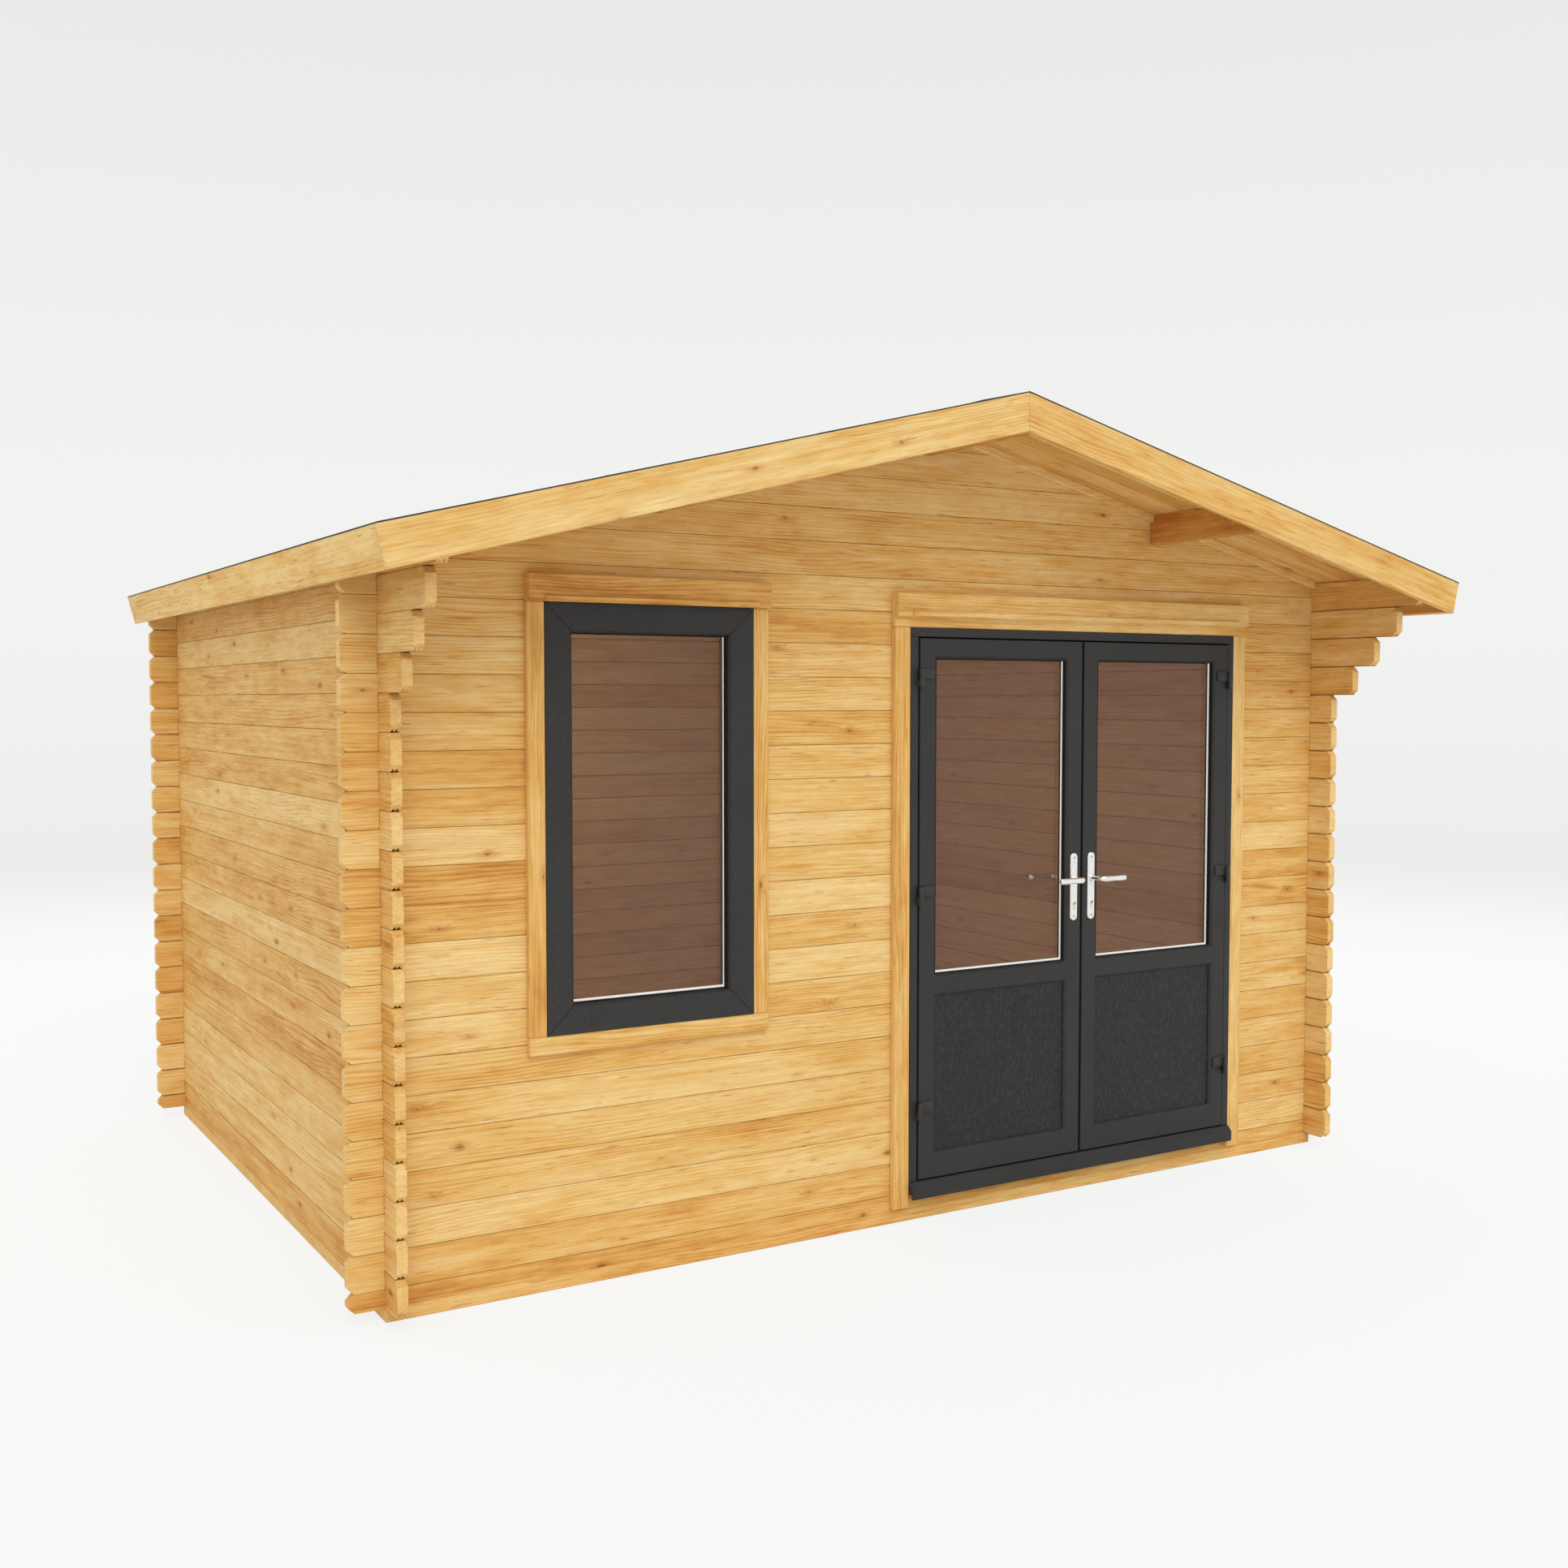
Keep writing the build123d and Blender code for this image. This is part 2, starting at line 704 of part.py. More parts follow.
def leaf_infill(side, foot, top, name):
    """A pane or a panel in its groove."""
    x0, x1 = leaf_span(side)
    inset = stile_w - glass_bite
    with BuildPart() as infill:
        with BuildSketch(upright(glazing_y)):
            panel(x0 + inset, foot - glass_bite, x1 - inset, top + glass_bite)
        extrude(amount=-glass_t)
    finish(infill.part, name)


def hinge_flags(side, name):
    """The moving half of each hinge: a flag on the face of the leaf with a bored barrel on the pin."""
    axis_x = hinge_x(side)
    with BuildPart() as flags:
        for foot in hinge_zs:
            flag_foot = foot + knuckle_h + knuckle_gap
            with BuildSketch(Plane.XY.offset(flag_foot)):
                with Locations((axis_x, hinge_y)):
                    RegularPolygon(knuckle_d / 2, knuckle_sides)
                with Locations((axis_x - side * flag_w / 2, leaf_face_y - flag_t / 2)):
                    Rectangle(flag_w, flag_t)
                with Locations((axis_x, hinge_y)):
                    RegularPolygon(pin_d / 2 + pin_gap, pin_sides, major_radius=False, mode=Mode.SUBTRACT)
            extrude(amount=flag_h)
    finish(flags.part, name)


def handle_plates(side, name):
    """The outer and the inner plate of a lever handle."""
    middle_z = lever_z - lever_above_plate_middle
    straight_h = plate_h - plate_w
    with BuildPart() as plates:
        for near_y in (leaf_face_y, leaf_back_y + plate_t):
            with BuildSketch(upright(near_y)):
                with Locations((plate_x(side), middle_z)):
                    Rectangle(plate_w, straight_h)
                    with Locations((0, straight_h / 2), (0, -straight_h / 2)):
                        RegularPolygon(plate_w / 2, plate_end_sides)
            extrude(amount=plate_t)
        add(spindle_bores.part, mode=Mode.SUBTRACT)
    finish(plates.part, name)


def lever_handle(side, name):
    """Outer and inner lever on one spindle, as they turn together."""
    x = plate_x(side)
    outer_y = leaf_face_y - plate_t - lever_gap
    inner_y = leaf_back_y + plate_t + lever_gap
    tip_x = x + side * lever_length
    with BuildPart() as lever:
        for start_y, out in ((outer_y, -1), (inner_y, 1)):
            arm_y = start_y + out * lever_reach
            with BuildLine() as path:
                Polyline((x, start_y, lever_z), (x, arm_y, lever_z), (tip_x, arm_y, lever_z))
            with BuildSketch(Plane(origin=(x, start_y, lever_z), z_dir=(0, out, 0))):
                RegularPolygon(lever_d / 2, lever_sides)
            sweep(path=path.line, transition=Transition.RIGHT)
        tips = lever.faces().filter_by(Axis.X).group_by(Axis.X)[-1 if side > 0 else 0]
        chamfer(tips.edges(), length=lever_tip_chamfer)
        with BuildSketch(upright(outer_y)):
            with Locations((x, lever_z)):
                Rectangle(spindle_w, spindle_w)
        extrude(amount=outer_y - inner_y)
    finish(lever.part, name)


for side, hand in ((-1, "left"), (1, "right")):
    leaf_frame(side, f"{hand}_door_frame")
    leaf_infill(side, pane_foot, pane_top, f"{hand}_door_glass")
    leaf_infill(side, panel_foot, panel_top, f"{hand}_door_panel")
    hinge_flags(side, f"{hand}_door_hinge_flags")
    handle_plates(side, f"{hand}_door_handle_plates")
    lever_handle(side, f"{hand}_door_lever")
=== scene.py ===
import math

import bmesh
import bpy
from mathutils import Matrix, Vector


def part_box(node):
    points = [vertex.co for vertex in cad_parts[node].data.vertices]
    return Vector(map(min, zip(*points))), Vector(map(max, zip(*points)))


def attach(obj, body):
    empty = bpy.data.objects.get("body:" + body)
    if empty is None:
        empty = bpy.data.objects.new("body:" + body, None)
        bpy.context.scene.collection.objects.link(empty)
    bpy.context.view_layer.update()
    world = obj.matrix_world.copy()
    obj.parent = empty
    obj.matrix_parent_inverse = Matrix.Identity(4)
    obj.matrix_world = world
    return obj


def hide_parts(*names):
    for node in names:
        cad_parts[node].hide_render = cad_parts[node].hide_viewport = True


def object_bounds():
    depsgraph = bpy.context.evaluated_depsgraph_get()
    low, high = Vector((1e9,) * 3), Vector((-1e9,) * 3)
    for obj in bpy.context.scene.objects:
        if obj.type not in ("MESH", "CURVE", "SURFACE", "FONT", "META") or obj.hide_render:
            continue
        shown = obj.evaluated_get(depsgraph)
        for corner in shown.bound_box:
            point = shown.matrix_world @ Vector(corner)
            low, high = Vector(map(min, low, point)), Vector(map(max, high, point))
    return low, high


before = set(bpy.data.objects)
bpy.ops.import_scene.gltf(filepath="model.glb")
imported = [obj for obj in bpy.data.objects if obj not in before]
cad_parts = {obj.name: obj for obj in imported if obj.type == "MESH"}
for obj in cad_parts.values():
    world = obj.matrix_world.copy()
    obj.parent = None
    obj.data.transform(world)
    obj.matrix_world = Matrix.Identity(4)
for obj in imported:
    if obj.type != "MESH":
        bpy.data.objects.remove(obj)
cad_low, cad_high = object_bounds()

# Sizes of the cabin that the looks follow, lengths in metres and angles in radians
course = 0.114
pitch = math.radians(14)
roof_board_t = 0.019
felt_t = 0.003
glass_bite = 0.014
sheet_t = 0.004
hinge_height_shares = (0.11, 0.51, 0.91)
knuckle_r = 0.010
knuckle_h = 0.029
knuckle_gap = 0.0005
flag_h = 0.038
flag_t = 0.009
plate_t = 0.008
lever_r = 0.0085
lever_oval = 0.40
slope_cos, slope_sin, slope_tan = math.cos(pitch), math.sin(pitch), math.tan(pitch)
front_rows_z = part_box("front_wall_base_log")[1].z
side_rows_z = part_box("left_wall_logs")[0].z
ridge_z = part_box("ridge_purlin")[1].z
roof_front, roof_back = cad_low.y, cad_high.y
hands = ((-1, "left"), (1, "right"))

# Widths in the finishes, and the limits for smooth, eased and merged faces
plain_board_w = 0.13
weld_outer, weld_inner = 0.0034, 0.0014
smooth_angle = math.radians(38)
eased_angle = math.radians(30)
flat_angle = math.radians(0.5)
merge_reach = 0.00005

# Colours, linear
pine_dark = (0.50, 0.180, 0.034)
pine_mid = (0.735, 0.428, 0.122)
pine_light = (0.88, 0.680, 0.325)
pine_red = (0.47, 0.170, 0.046)
pine_warm = (0.66, 0.320, 0.085)
pine_knot = (0.24, 0.078, 0.022)
pine_seam = (0.30, 0.135, 0.042)
pine_crack = (0.055, 0.022, 0.009)
pine_end = (0.87, 0.630, 0.285)
anthracite = (0.027, 0.0275, 0.0285)
bronze = (0.170, 0.115, 0.092)
clear_glass = (0.30, 0.28, 0.26)


# Material graphs


class Graph:
    """A material's nodes, with short calls for the ones used here."""

    def __init__(self, name):
        self.material = bpy.data.materials.new(name)
        self.material.use_nodes = True
        self.tree = self.material.node_tree
        self.shader = self.tree.nodes["Principled BSDF"]

    def feed(self, socket, value):
        if isinstance(value, bpy.types.NodeSocket):
            self.tree.links.new(value, socket)
        elif value is not None:
            socket.default_value = value

    def node(self, kind, inputs=(), **settings):
        made = self.tree.nodes.new(kind)
        for key, value in settings.items():
            setattr(made, key, value)
        for key, value in dict(inputs).items():
            self.feed(made.inputs[key], value)
        return made

    def math(self, operation, a, b=None):
        made = self.node("ShaderNodeMath", operation=operation)
        for socket, value in zip(made.inputs, (a, b)):
            self.feed(socket, value)
        return made.outputs[0]

    def add(self, *values):
        total = values[0]
        for value in values[1:]:
            total = self.math("ADD", total, value)
        return total

    def times(self, *values):
        total = values[0]
        for value in values[1:]:
            total = self.math("MULTIPLY", total, value)
        return total

    def less(self, a, b):
        return self.math("SUBTRACT", a, b)

    def swing(self, value, size):
        """A noise value, turned into a change of about half of size up or down."""
        return self.times(self.less(value, 0.5), size)

    def band(self, value, start, end):
        """0 before start and 1 after end, or the other way round where start is the larger."""
        low, high = min(start, end), max(start, end)
        made = self.node("ShaderNodeMapRange", {"Value": value, "From Min": low, "From Max": high},
                         interpolation_type="SMOOTHSTEP")
        made.inputs["To Min"].default_value = 0.0 if start < end else 1.0
        made.inputs["To Max"].default_value = 1.0 if start < end else 0.0
        return made.outputs[0]

    def vector(self, x, y, z):
        return self.node("ShaderNodeCombineXYZ", {"X": x, "Y": y, "Z": z}).outputs[0]

    def noise(self, place, scale=1.0, detail=2.0, roughness=0.5):
        made = self.node("ShaderNodeTexNoise", {"Vector": place, "Scale": scale, "Detail": detail,
                                                "Roughness": roughness})
        return made.outputs["Fac"]

    def stretched(self, place, waves, detail=2.0, roughness=0.5, shift=0.0):
        """Noise with a number of waves a metre of its own along each of three axes."""
        x, y, z = [self.times(axis, count) for axis, count in zip(place, waves)]
        z = self.add(z, shift) if shift else z
        return self.noise(self.vector(x, y, z), 1.0, detail, roughness)

    def random(self, place):
        """Three random values for a place."""
        made = self.node("ShaderNodeTexWhiteNoise", {"Vector": place}, noise_dimensions="3D")
        return self.node("ShaderNodeSeparateColor", {"Color": made.outputs["Color"]}).outputs

    def mix(self, share, a, b):
        made = self.node("ShaderNodeMix", data_type="RGBA", clamp_factor=True)
        for socket, value in ((made.inputs[0], share), (made.inputs[6], a), (made.inputs[7], b)):
            value = (*value, 1.0) if isinstance(value, tuple) else value
            self.feed(socket, value)
        return made.outputs[2]

    def ramp(self, value, *stops):
        made = self.node("ShaderNodeValToRGB", {"Fac": value})
        elements = made.color_ramp.elements
        while len(elements) < len(stops):
            elements.new(1.0)
        for element, (place, colour) in zip(elements, stops):
            element.position = place
            element.color = (*colour, 1.0)
        return made.outputs["Color"]

    def bump(self, height, strength, distance):
        made = self.node("ShaderNodeBump", {"Height": height, "Strength": strength, "Distance": distance})
        self.feed(self.shader.inputs["Normal"], made.outputs[0])

    def looks(self, axis):
        """How far a face looks along an axis of the piece, from -1 to 1."""
        normal = self.node("ShaderNodeTexCoord").outputs["Normal"]
        return self.node("ShaderNodeSeparateXYZ", {"Vector": normal}).outputs[axis]

    def place(self, turn=0.0):
        """Coordinates of the piece in metres, turned about Y so that x follows a slope."""
        place = self.node("ShaderNodeTexCoord").outputs["Object"]
        if turn:
            rotation = (0.0, turn, 0.0)
            place = self.node("ShaderNodeMapping", {"Vector": place, "Rotation": rotation}).outputs[0]
        return self.node("ShaderNodeSeparateXYZ", {"Vector": place}).outputs


def knots(g, u, row_v, width, shift, ragged):
    """Knots scattered along a board: how far a point lies in a knot, and in the stained grain round it."""
    spacing, across_share, drawn_out = 0.50, 0.7, 2.0
    smallest, growth = 0.0026, 0.0090
    stain_length, stain_width = 0.036, 0.012
    cells = g.node("ShaderNodeTexVoronoi", {"W": g.add(g.math("DIVIDE", u, spacing), shift), "Scale": 1.0,
                                            "Randomness": 0.85}, voronoi_dimensions="1D", feature="F1")
    cell = g.node("ShaderNodeSeparateColor", {"Color": cells.outputs["Color"]}).outputs
    along = g.times(cells.outputs["Distance"], spacing)
    across = g.less(row_v, g.swing(cell[1], across_share * width))
    there = g.band(cell[0], 0.70, 0.74)

    def square(value, size):
        share = g.math("DIVIDE", value, size)
        return g.times(share, share)

    size = g.add(smallest, g.times(cell[2], cell[2], growth))
    reach = g.math("SQRT", g.add(square(along, g.times(size, drawn_out)), square(across, size)))
    knot = g.times(there, g.band(g.add(reach, g.swing(ragged, 3.0)), 1.25, 0.25))
    spread = g.add(square(along, stain_length), square(across, stain_width))
    stain = g.times(there, g.math("POWER", 2.718, g.times(-1.0, spread)))
    return knot, stain


def stand_up(g, u, v, foot, head):
    """Turns the grain upright between two heights; gives the turned axes and a number for each board."""
    stands = g.times(g.math("GREATER_THAN", v, foot), g.math("LESS_THAN", v, head))
    swap = g.times(stands, g.less(v, u))
    standing = g.times(stands, g.math("FLOOR", g.times(u, 0.7)))
    board = g.add(g.math("GREATER_THAN", v, head), standing)
    return g.add(u, swap), g.less(v, swap), board


def seams(g, colour, edge, ragged, inside):
    """Fine seams of uneven strength, with short dark cracks here and there; edge is the distance from
    the board's edge, and where inside is 1 they are wider and darker."""
    narrowest, growth = 0.0006, 0.0042
    width = g.add(narrowest, g.times(ragged, ragged, growth))
    strength = 0.60
    if inside is not None:
        width = g.times(width, g.add(1.0, g.times(inside, 1.2)))
        strength = g.add(strength, g.times(inside, 0.30))
    line = g.band(g.math("DIVIDE", edge, width), 1.2, 0.45)
    colour = g.mix(g.times(line, g.band(ragged, 0.15, 0.60), strength), colour, pine_seam)
    return g.mix(g.times(line, g.band(ragged, 0.60, 0.70), 0.90), colour, pine_crack)


def growth_rings(g, row_v, wave, stain, start):
    """Lines of the growth rings, which bend round the knots and come and go along the board."""
    rings = g.add(g.times(row_v, 84.0), g.times(wave, 12.0), g.times(stain, 2.2), g.times(start, 9.0))
    ring = g.band(g.math("PINGPONG", rings, 0.5), 0.22, 0.48)
    return g.times(ring, g.band(wave, 0.36, 0.60))


def grain_noises(g, place):
    """Noises along a board: broad stains, blotches, streaks, fine fibres, short dashes, and the slow wave
    of the growth rings."""
    broad = g.stretched(place, (1.7, 13.0, 9.0), detail=3.0, roughness=0.6)
    blotch = g.stretched(place, (6.0, 20.0, 14.0), detail=3.0, roughness=0.6, shift=3.0)
    streak = g.stretched(place, (2.2, 75.0, 60.0), detail=3.0, roughness=0.65)
    fibre = g.stretched(place, (9.0, 360.0, 300.0), roughness=0.6)
    dash = g.stretched(place, (11.0, 150.0, 70.0), shift=7.0)
    wave = g.stretched(place, (0.8, 5.0, 9.0), roughness=0.55)
    return broad, blotch, streak, fibre, dash, wave


def stained(g, level, broad, blotch, dash, stain, knot):
    """Pine at a level from dark to light, with warm and red stains and the knots over it."""
    colour = g.ramp(level, (0.0, pine_dark), (0.48, pine_mid), (1.0, pine_light))
    colour = g.mix(g.times(g.band(broad, 0.54, 0.76), 0.35), colour, pine_warm)
    colour = g.mix(g.times(g.band(blotch, 0.58, 0.78), 0.55), colour, pine_warm)
    colour = g.mix(g.times(g.band(dash, 0.62, 0.76), 0.60), colour, pine_red)
    colour = g.mix(g.times(stain, 0.34), colour, pine_red)
    return g.mix(g.times(knot, 0.66), colour, pine_knot)


def pine(name, seed, along, across, board_w=None, board_from=0.0, turn=0.0, tone=0.0, upright=None,
         inner_seams=False):
    """Planed pine. along and across are the axes of the grain and of the boards' width. Each board of
    width board_w has a tone, grain and knots of its own and a seam at its edges. Between the two heights
    in upright the grain stands up, as in the side boards of a trim. With inner_seams the seams are wider
    on the side that looks back along the third axis: the inside of the back and the right wall."""
    g = Graph(name)
    axes = dict(zip("XYZ", g.place(turn)))
    through = next(axis for axis in "XYZ" if axis not in (along, across))
    u, v, w = axes[along], axes[across], axes[through]
    board = 0.0
    if upright:
        u, v, board = stand_up(g, u, v, *upright)
    lane_w = board_w or plain_board_w
    lanes = g.math("DIVIDE", g.less(v, board_from), lane_w)
    lane = g.math("FLOOR", lanes)
    part = g.math("FRACT", lanes)
    row_v = g.times(g.less(part, 0.5), lane_w)
    chance = g.random(g.vector(lane if board_w else board, float(seed), 0.5))

    # Each board is cut from another place of the grain
    shift = g.times(chance[0], 40.0)
    shifted = g.add(u, shift)
    broad, blotch, streak, fibre, dash, wave = grain_noises(g, (shifted, v, w))
    knot, stain = knots(g, u, row_v, lane_w, g.add(shift, g.times(lane, 7.3)), streak)
    grain = growth_rings(g, row_v, wave, stain, chance[1])
    level = g.add(
        0.65 + tone,
        g.swing(chance[2], 0.40),
        g.swing(broad, 0.90),
        g.swing(blotch, 0.75),
        g.swing(streak, 0.80),
        g.swing(fibre, 0.55),
        g.times(grain, -0.23),
        g.times(stain, -0.20),
    )
    colour = stained(g, level, broad, blotch, dash, stain, knot)
    if along in "XY" and not turn:
        # Sawn ends are paler
        end = g.band(g.math("ABSOLUTE", g.looks(along)), 0.6, 0.9)
        colour = g.mix(g.times(end, 0.38), colour, pine_end)
    if board_w:
        edge = g.times(g.math("MINIMUM", part, g.less(1.0, part)), board_w)
        ragged = g.noise(g.vector(g.times(shifted, 5.0), lane, float(seed)), detail=4.0, roughness=0.7)
        inside = g.math("LESS_THAN", g.looks(through), -0.5) if inner_seams else None
        colour = seams(g, colour, edge, ragged, inside)
    g.feed(g.shader.inputs["Base Color"], colour)
    g.feed(g.shader.inputs["Roughness"], g.add(0.48, g.times(streak, 0.20), g.times(knot, -0.08)))
    g.shader.inputs["Specular IOR Level"].default_value = 0.12
    relief = g.add(g.times(streak, 0.5), g.times(fibre, 0.35), g.times(grain, -0.25), g.times(knot, 0.3))
    g.bump(relief, strength=0.24, distance=0.002)
    return g.material


def foiled_plastic(name, mitred=None):
    """Anthracite foil with a fine pressed grain; mitred is the box of a frame whose corners are welded."""
    g = Graph(name)
    x, y, z = g.place()
    grain = g.stretched((x, y, z), (520.0, 520.0, 300.0), detail=3.0, roughness=0.65)
    speckle = g.stretched((x, y, z), (150.0, 150.0, 120.0))
    cloud = g.noise(g.vector(x, y, z), scale=3.0, detail=3.0, roughness=0.6)
    level = g.add(g.times(grain, 0.6), g.times(speckle, 0.45), g.times(cloud, 0.25))
    colour = g.ramp(level, (0.30, (0.013, 0.0135, 0.0145)), (0.62, anthracite),
                    (0.95, (0.044, 0.045, 0.0465)))
    height = g.add(g.times(grain, 0.7), g.times(speckle, 0.6))
    if mitred:
        low, high = mitred
        from_side = g.math("MINIMUM", g.less(x, low.x), g.less(high.x, x))
        from_end = g.math("MINIMUM", g.less(z, low.z), g.less(high.z, z))
        weld = g.band(g.math("ABSOLUTE", g.less(from_side, from_end)), weld_outer, weld_inner)
        colour = g.mix(g.times(weld, 0.85), colour, (0.006, 0.006, 0.007))
        height = g.add(height, g.times(weld, -1.5))
    g.feed(g.shader.inputs["Base Color"], colour)
    g.feed(g.shader.inputs["Roughness"], g.add(0.42, g.times(speckle, 0.22)))
    g.shader.inputs["Specular IOR Level"].default_value = 0.32
    g.bump(height, strength=0.30, distance=0.0012)
    return g.material


def stippled_panel(name):
    """The door panels' coarser pressed texture, drawn out upward."""
    g = Graph(name)
    x, y, z = g.place()
    drawn = g.vector(x, y, g.times(z, 0.45))
    pebbles = g.node("ShaderNodeTexVoronoi", {"Vector": drawn, "Scale": 115.0}, feature="SMOOTH_F1")
    speckle = g.noise(drawn, scale=260.0, detail=3.0, roughness=0.6)
    cloud = g.noise(g.vector(x, y, z), scale=4.0, detail=3.0, roughness=0.6)
    level = g.add(g.times(pebbles.outputs["Distance"], 0.45), g.times(speckle, 0.65), g.times(cloud, 0.1))
    colour = g.ramp(level, (0.34, (0.009, 0.0092, 0.0097)), (0.58, (0.021, 0.0214, 0.0222)),
                    (0.88, (0.043, 0.044, 0.045)))
    g.feed(g.shader.inputs["Base Color"], colour)
    g.feed(g.shader.inputs["Roughness"], g.add(0.44, g.times(speckle, 0.2)))
    g.shader.inputs["Specular IOR Level"].default_value = 0.32
    g.bump(g.add(pebbles.outputs["Distance"], g.times(speckle, 0.5)), strength=0.45, distance=0.0015)
    return g.material


def sealed_glass(name, node):
    """A sealed unit: its outer sheet is clear and its inner sheet bronze, with faint smears."""
    low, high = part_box(node)
    g = Graph(name)
    x, y, z = g.place()
    inner = g.math("GREATER_THAN", y, (low.y + high.y) / 2)
    smear = g.stretched((x, y, z), (3.0, 1.0, 9.0), detail=3.0, roughness=0.6)
    tint = g.ramp(smear, (0.3, bronze), (0.7, tuple(part * 1.12 for part in bronze)))
    g.feed(g.shader.inputs["Base Color"], g.mix(inner, clear_glass, tint))
    g.feed(g.shader.inputs["Roughness"], g.add(0.03, g.times(smear, 0.05)))
    g.feed(g.shader.inputs["Alpha"], g.add(0.02, g.times(inner, 0.40)))
    g.shader.inputs["IOR"].default_value = 1.5
    g.material.surface_render_method = "BLENDED"
    return g.material


def metal(name, colour, roughness):
    """Polished or cast metal with fine scuffs."""
    g = Graph(name)
    x, y, z = g.place()
    scuff = g.noise(g.vector(x, y, z), scale=90.0, detail=4.0, roughness=0.6)
    darker = tuple(channel * 0.88 for channel in colour)
    g.feed(g.shader.inputs["Base Color"], g.ramp(scuff, (0.3, darker), (0.6, colour)))
    g.feed(g.shader.inputs["Roughness"], g.add(roughness - 0.04, g.times(scuff, 0.12)))
    g.shader.inputs["Metallic"].default_value = 1.0
    return g.material


def mottled(name, colour, roughness=0.7, glow=0.0):
    """Rubber, coated metal or a satin strip with a faint mottle; glow is a painted glow: emission in the
    surface's own colour that brightens it though it is no lamp.
    """
    g = Graph(name)
    x, y, z = g.place()
    mottle = g.noise(g.vector(x, y, z), scale=180.0, detail=3.0, roughness=0.6)
    darker = tuple(channel * 0.8 for channel in colour)
    g.feed(g.shader.inputs["Base Color"], g.ramp(mottle, (0.3, darker), (0.7, colour)))
    g.feed(g.shader.inputs["Roughness"], g.add(roughness - 0.08, g.times(mottle, 0.16)))
    g.shader.inputs["Specular IOR Level"].default_value = 0.30
    # Painted glow: emission in the surface's own colour at the strength glow, which brightens the surface
    # though it is no lamp
    g.shader.inputs["Emission Color"].default_value = (*colour, 1.0)
    g.shader.inputs["Emission Strength"].default_value = glow
    g.bump(mottle, strength=0.15, distance=0.0008)
    return g.material


def mineral_felt(name):
    """Charcoal felt with mineral grains; each sheet has a tone of its own and streaks down the slope."""
    g = Graph(name)
    x, y, z = g.place()
    grains = g.node("ShaderNodeTexVoronoi", {"Vector": g.vector(x, y, z), "Scale": 420.0}, feature="F1")
    fine = g.noise(g.vector(x, y, z), scale=700.0, roughness=0.6)
    cloud = g.noise(g.vector(x, y, z), scale=1.6, detail=4.0, roughness=0.6)
    wash = g.stretched((x, y, z), (1.2, 26.0, 1.0), detail=3.0, roughness=0.6)
    sheet_tone = g.node("ShaderNodeNewGeometry").outputs["Random Per Island"]
    level = g.add(
        g.times(grains.outputs["Distance"], 0.5),
        g.times(fine, 0.4),
        g.times(cloud, 0.30),
        g.swing(wash, 0.16),
        g.swing(sheet_tone, 0.14),
    )
    colour = g.ramp(level, (0.3, (0.020, 0.021, 0.022)), (0.65, (0.055, 0.057, 0.060)),
                    (1.0, (0.14, 0.14, 0.145)))
    g.feed(g.shader.inputs["Base Color"], colour)
    g.feed(g.shader.inputs["Roughness"], g.add(0.80, g.times(fine, 0.15)))
    g.bump(g.add(grains.outputs["Distance"], fine), strength=0.5, distance=0.0018)
    return g.material


# Mesh helpers


def loft(bm, rings, capped=True):
    """Joins rings of points by faces and closes both ends, or the last ring to the first."""
    rows = [[bm.verts.new(point) for point in ring] for ring in rings]
    pairs = list(zip(rows, rows[1:]))
    if not capped:
        pairs.append((rows[-1], rows[0]))
    for near, far in pairs:
        for i in range(len(near)):
            j = (i + 1) % len(near)
            bm.faces.new((near[i], near[j], far[j], far[i]))
    if capped:
        bm.faces.new(reversed(rows[0]))
        bm.faces.new(rows[-1])


def turned(bm, start, axis, stations, sides=20):
    """A round form on an axis through start; stations are pairs of distance and radius."""
    start, axis = Vector(start), Vector(axis)
    across = axis.orthogonal().normalized()
    other = axis.cross(across)
    angles = [2 * math.pi * i / sides for i in range(sides)]
    spokes = [across * math.cos(angle) + other * math.sin(angle) for angle in angles]
    loft(bm, [[start + axis * far + spoke * radius for spoke in spokes] for far, radius in stations])


def border(bm, low, high, profile):
    """A mitred rim round a rectangle; profile is a loop of pairs of inset and y."""
    corners = ((low.x, low.z, 1, 1), (high.x, low.z, -1, 1),
               (high.x, high.z, -1, -1), (low.x, high.z, 1, -1))
    rings = [[(x + dx * inset, y, z + dz * inset) for inset, y in profile] for x, z, dx, dz in corners]
    loft(bm, rings, capped=False)


def piece(name, bm, material, body, slot, *stands_for):
    """Turns a bmesh into a piece of the object that rides on a body; only its sharp edges stay sharp."""
    bmesh.ops.recalc_face_normals(bm, faces=bm.faces)
    for face in bm.faces:
        face.smooth = True
    for edge in bm.edges:
        edge.smooth = edge.calc_face_angle(math.pi) < smooth_angle
    data = bpy.data.meshes.new(name)
    bm.to_mesh(data)
    bm.free()
    made = bpy.data.objects.new(name, data)
    made.data.materials.append(material)
    bpy.context.scene.collection.objects.link(made)
    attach(made, body)
    if stands_for:
        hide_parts(*stands_for)
    return made


def ease_edges(made, width):
    """Breaks the sharp edges of a piece."""
    bevel = made.modifiers.new("eased_edges", "BEVEL")
    bevel.width = width
    bevel.segments = 1
    bevel.limit_method = "ANGLE"
    bevel.angle_limit = eased_angle
    bevel.use_clamp_overlap = False


def dress(node, material, edge=0.0):
    """Gives a CAD node its finish and, where wanted, eased edges."""
    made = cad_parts[node]
    for slot in made.material_slots:
        slot.material = material
    if edge:
        weld = made.modifiers.new("weld", "WELD")
        weld.merge_threshold = merge_reach
        flat = made.modifiers.new("flat_faces", "DECIMATE")
        flat.decimate_type = "DISSOLVE"
        flat.angle_limit = flat_angle
        ease_edges(made, edge)


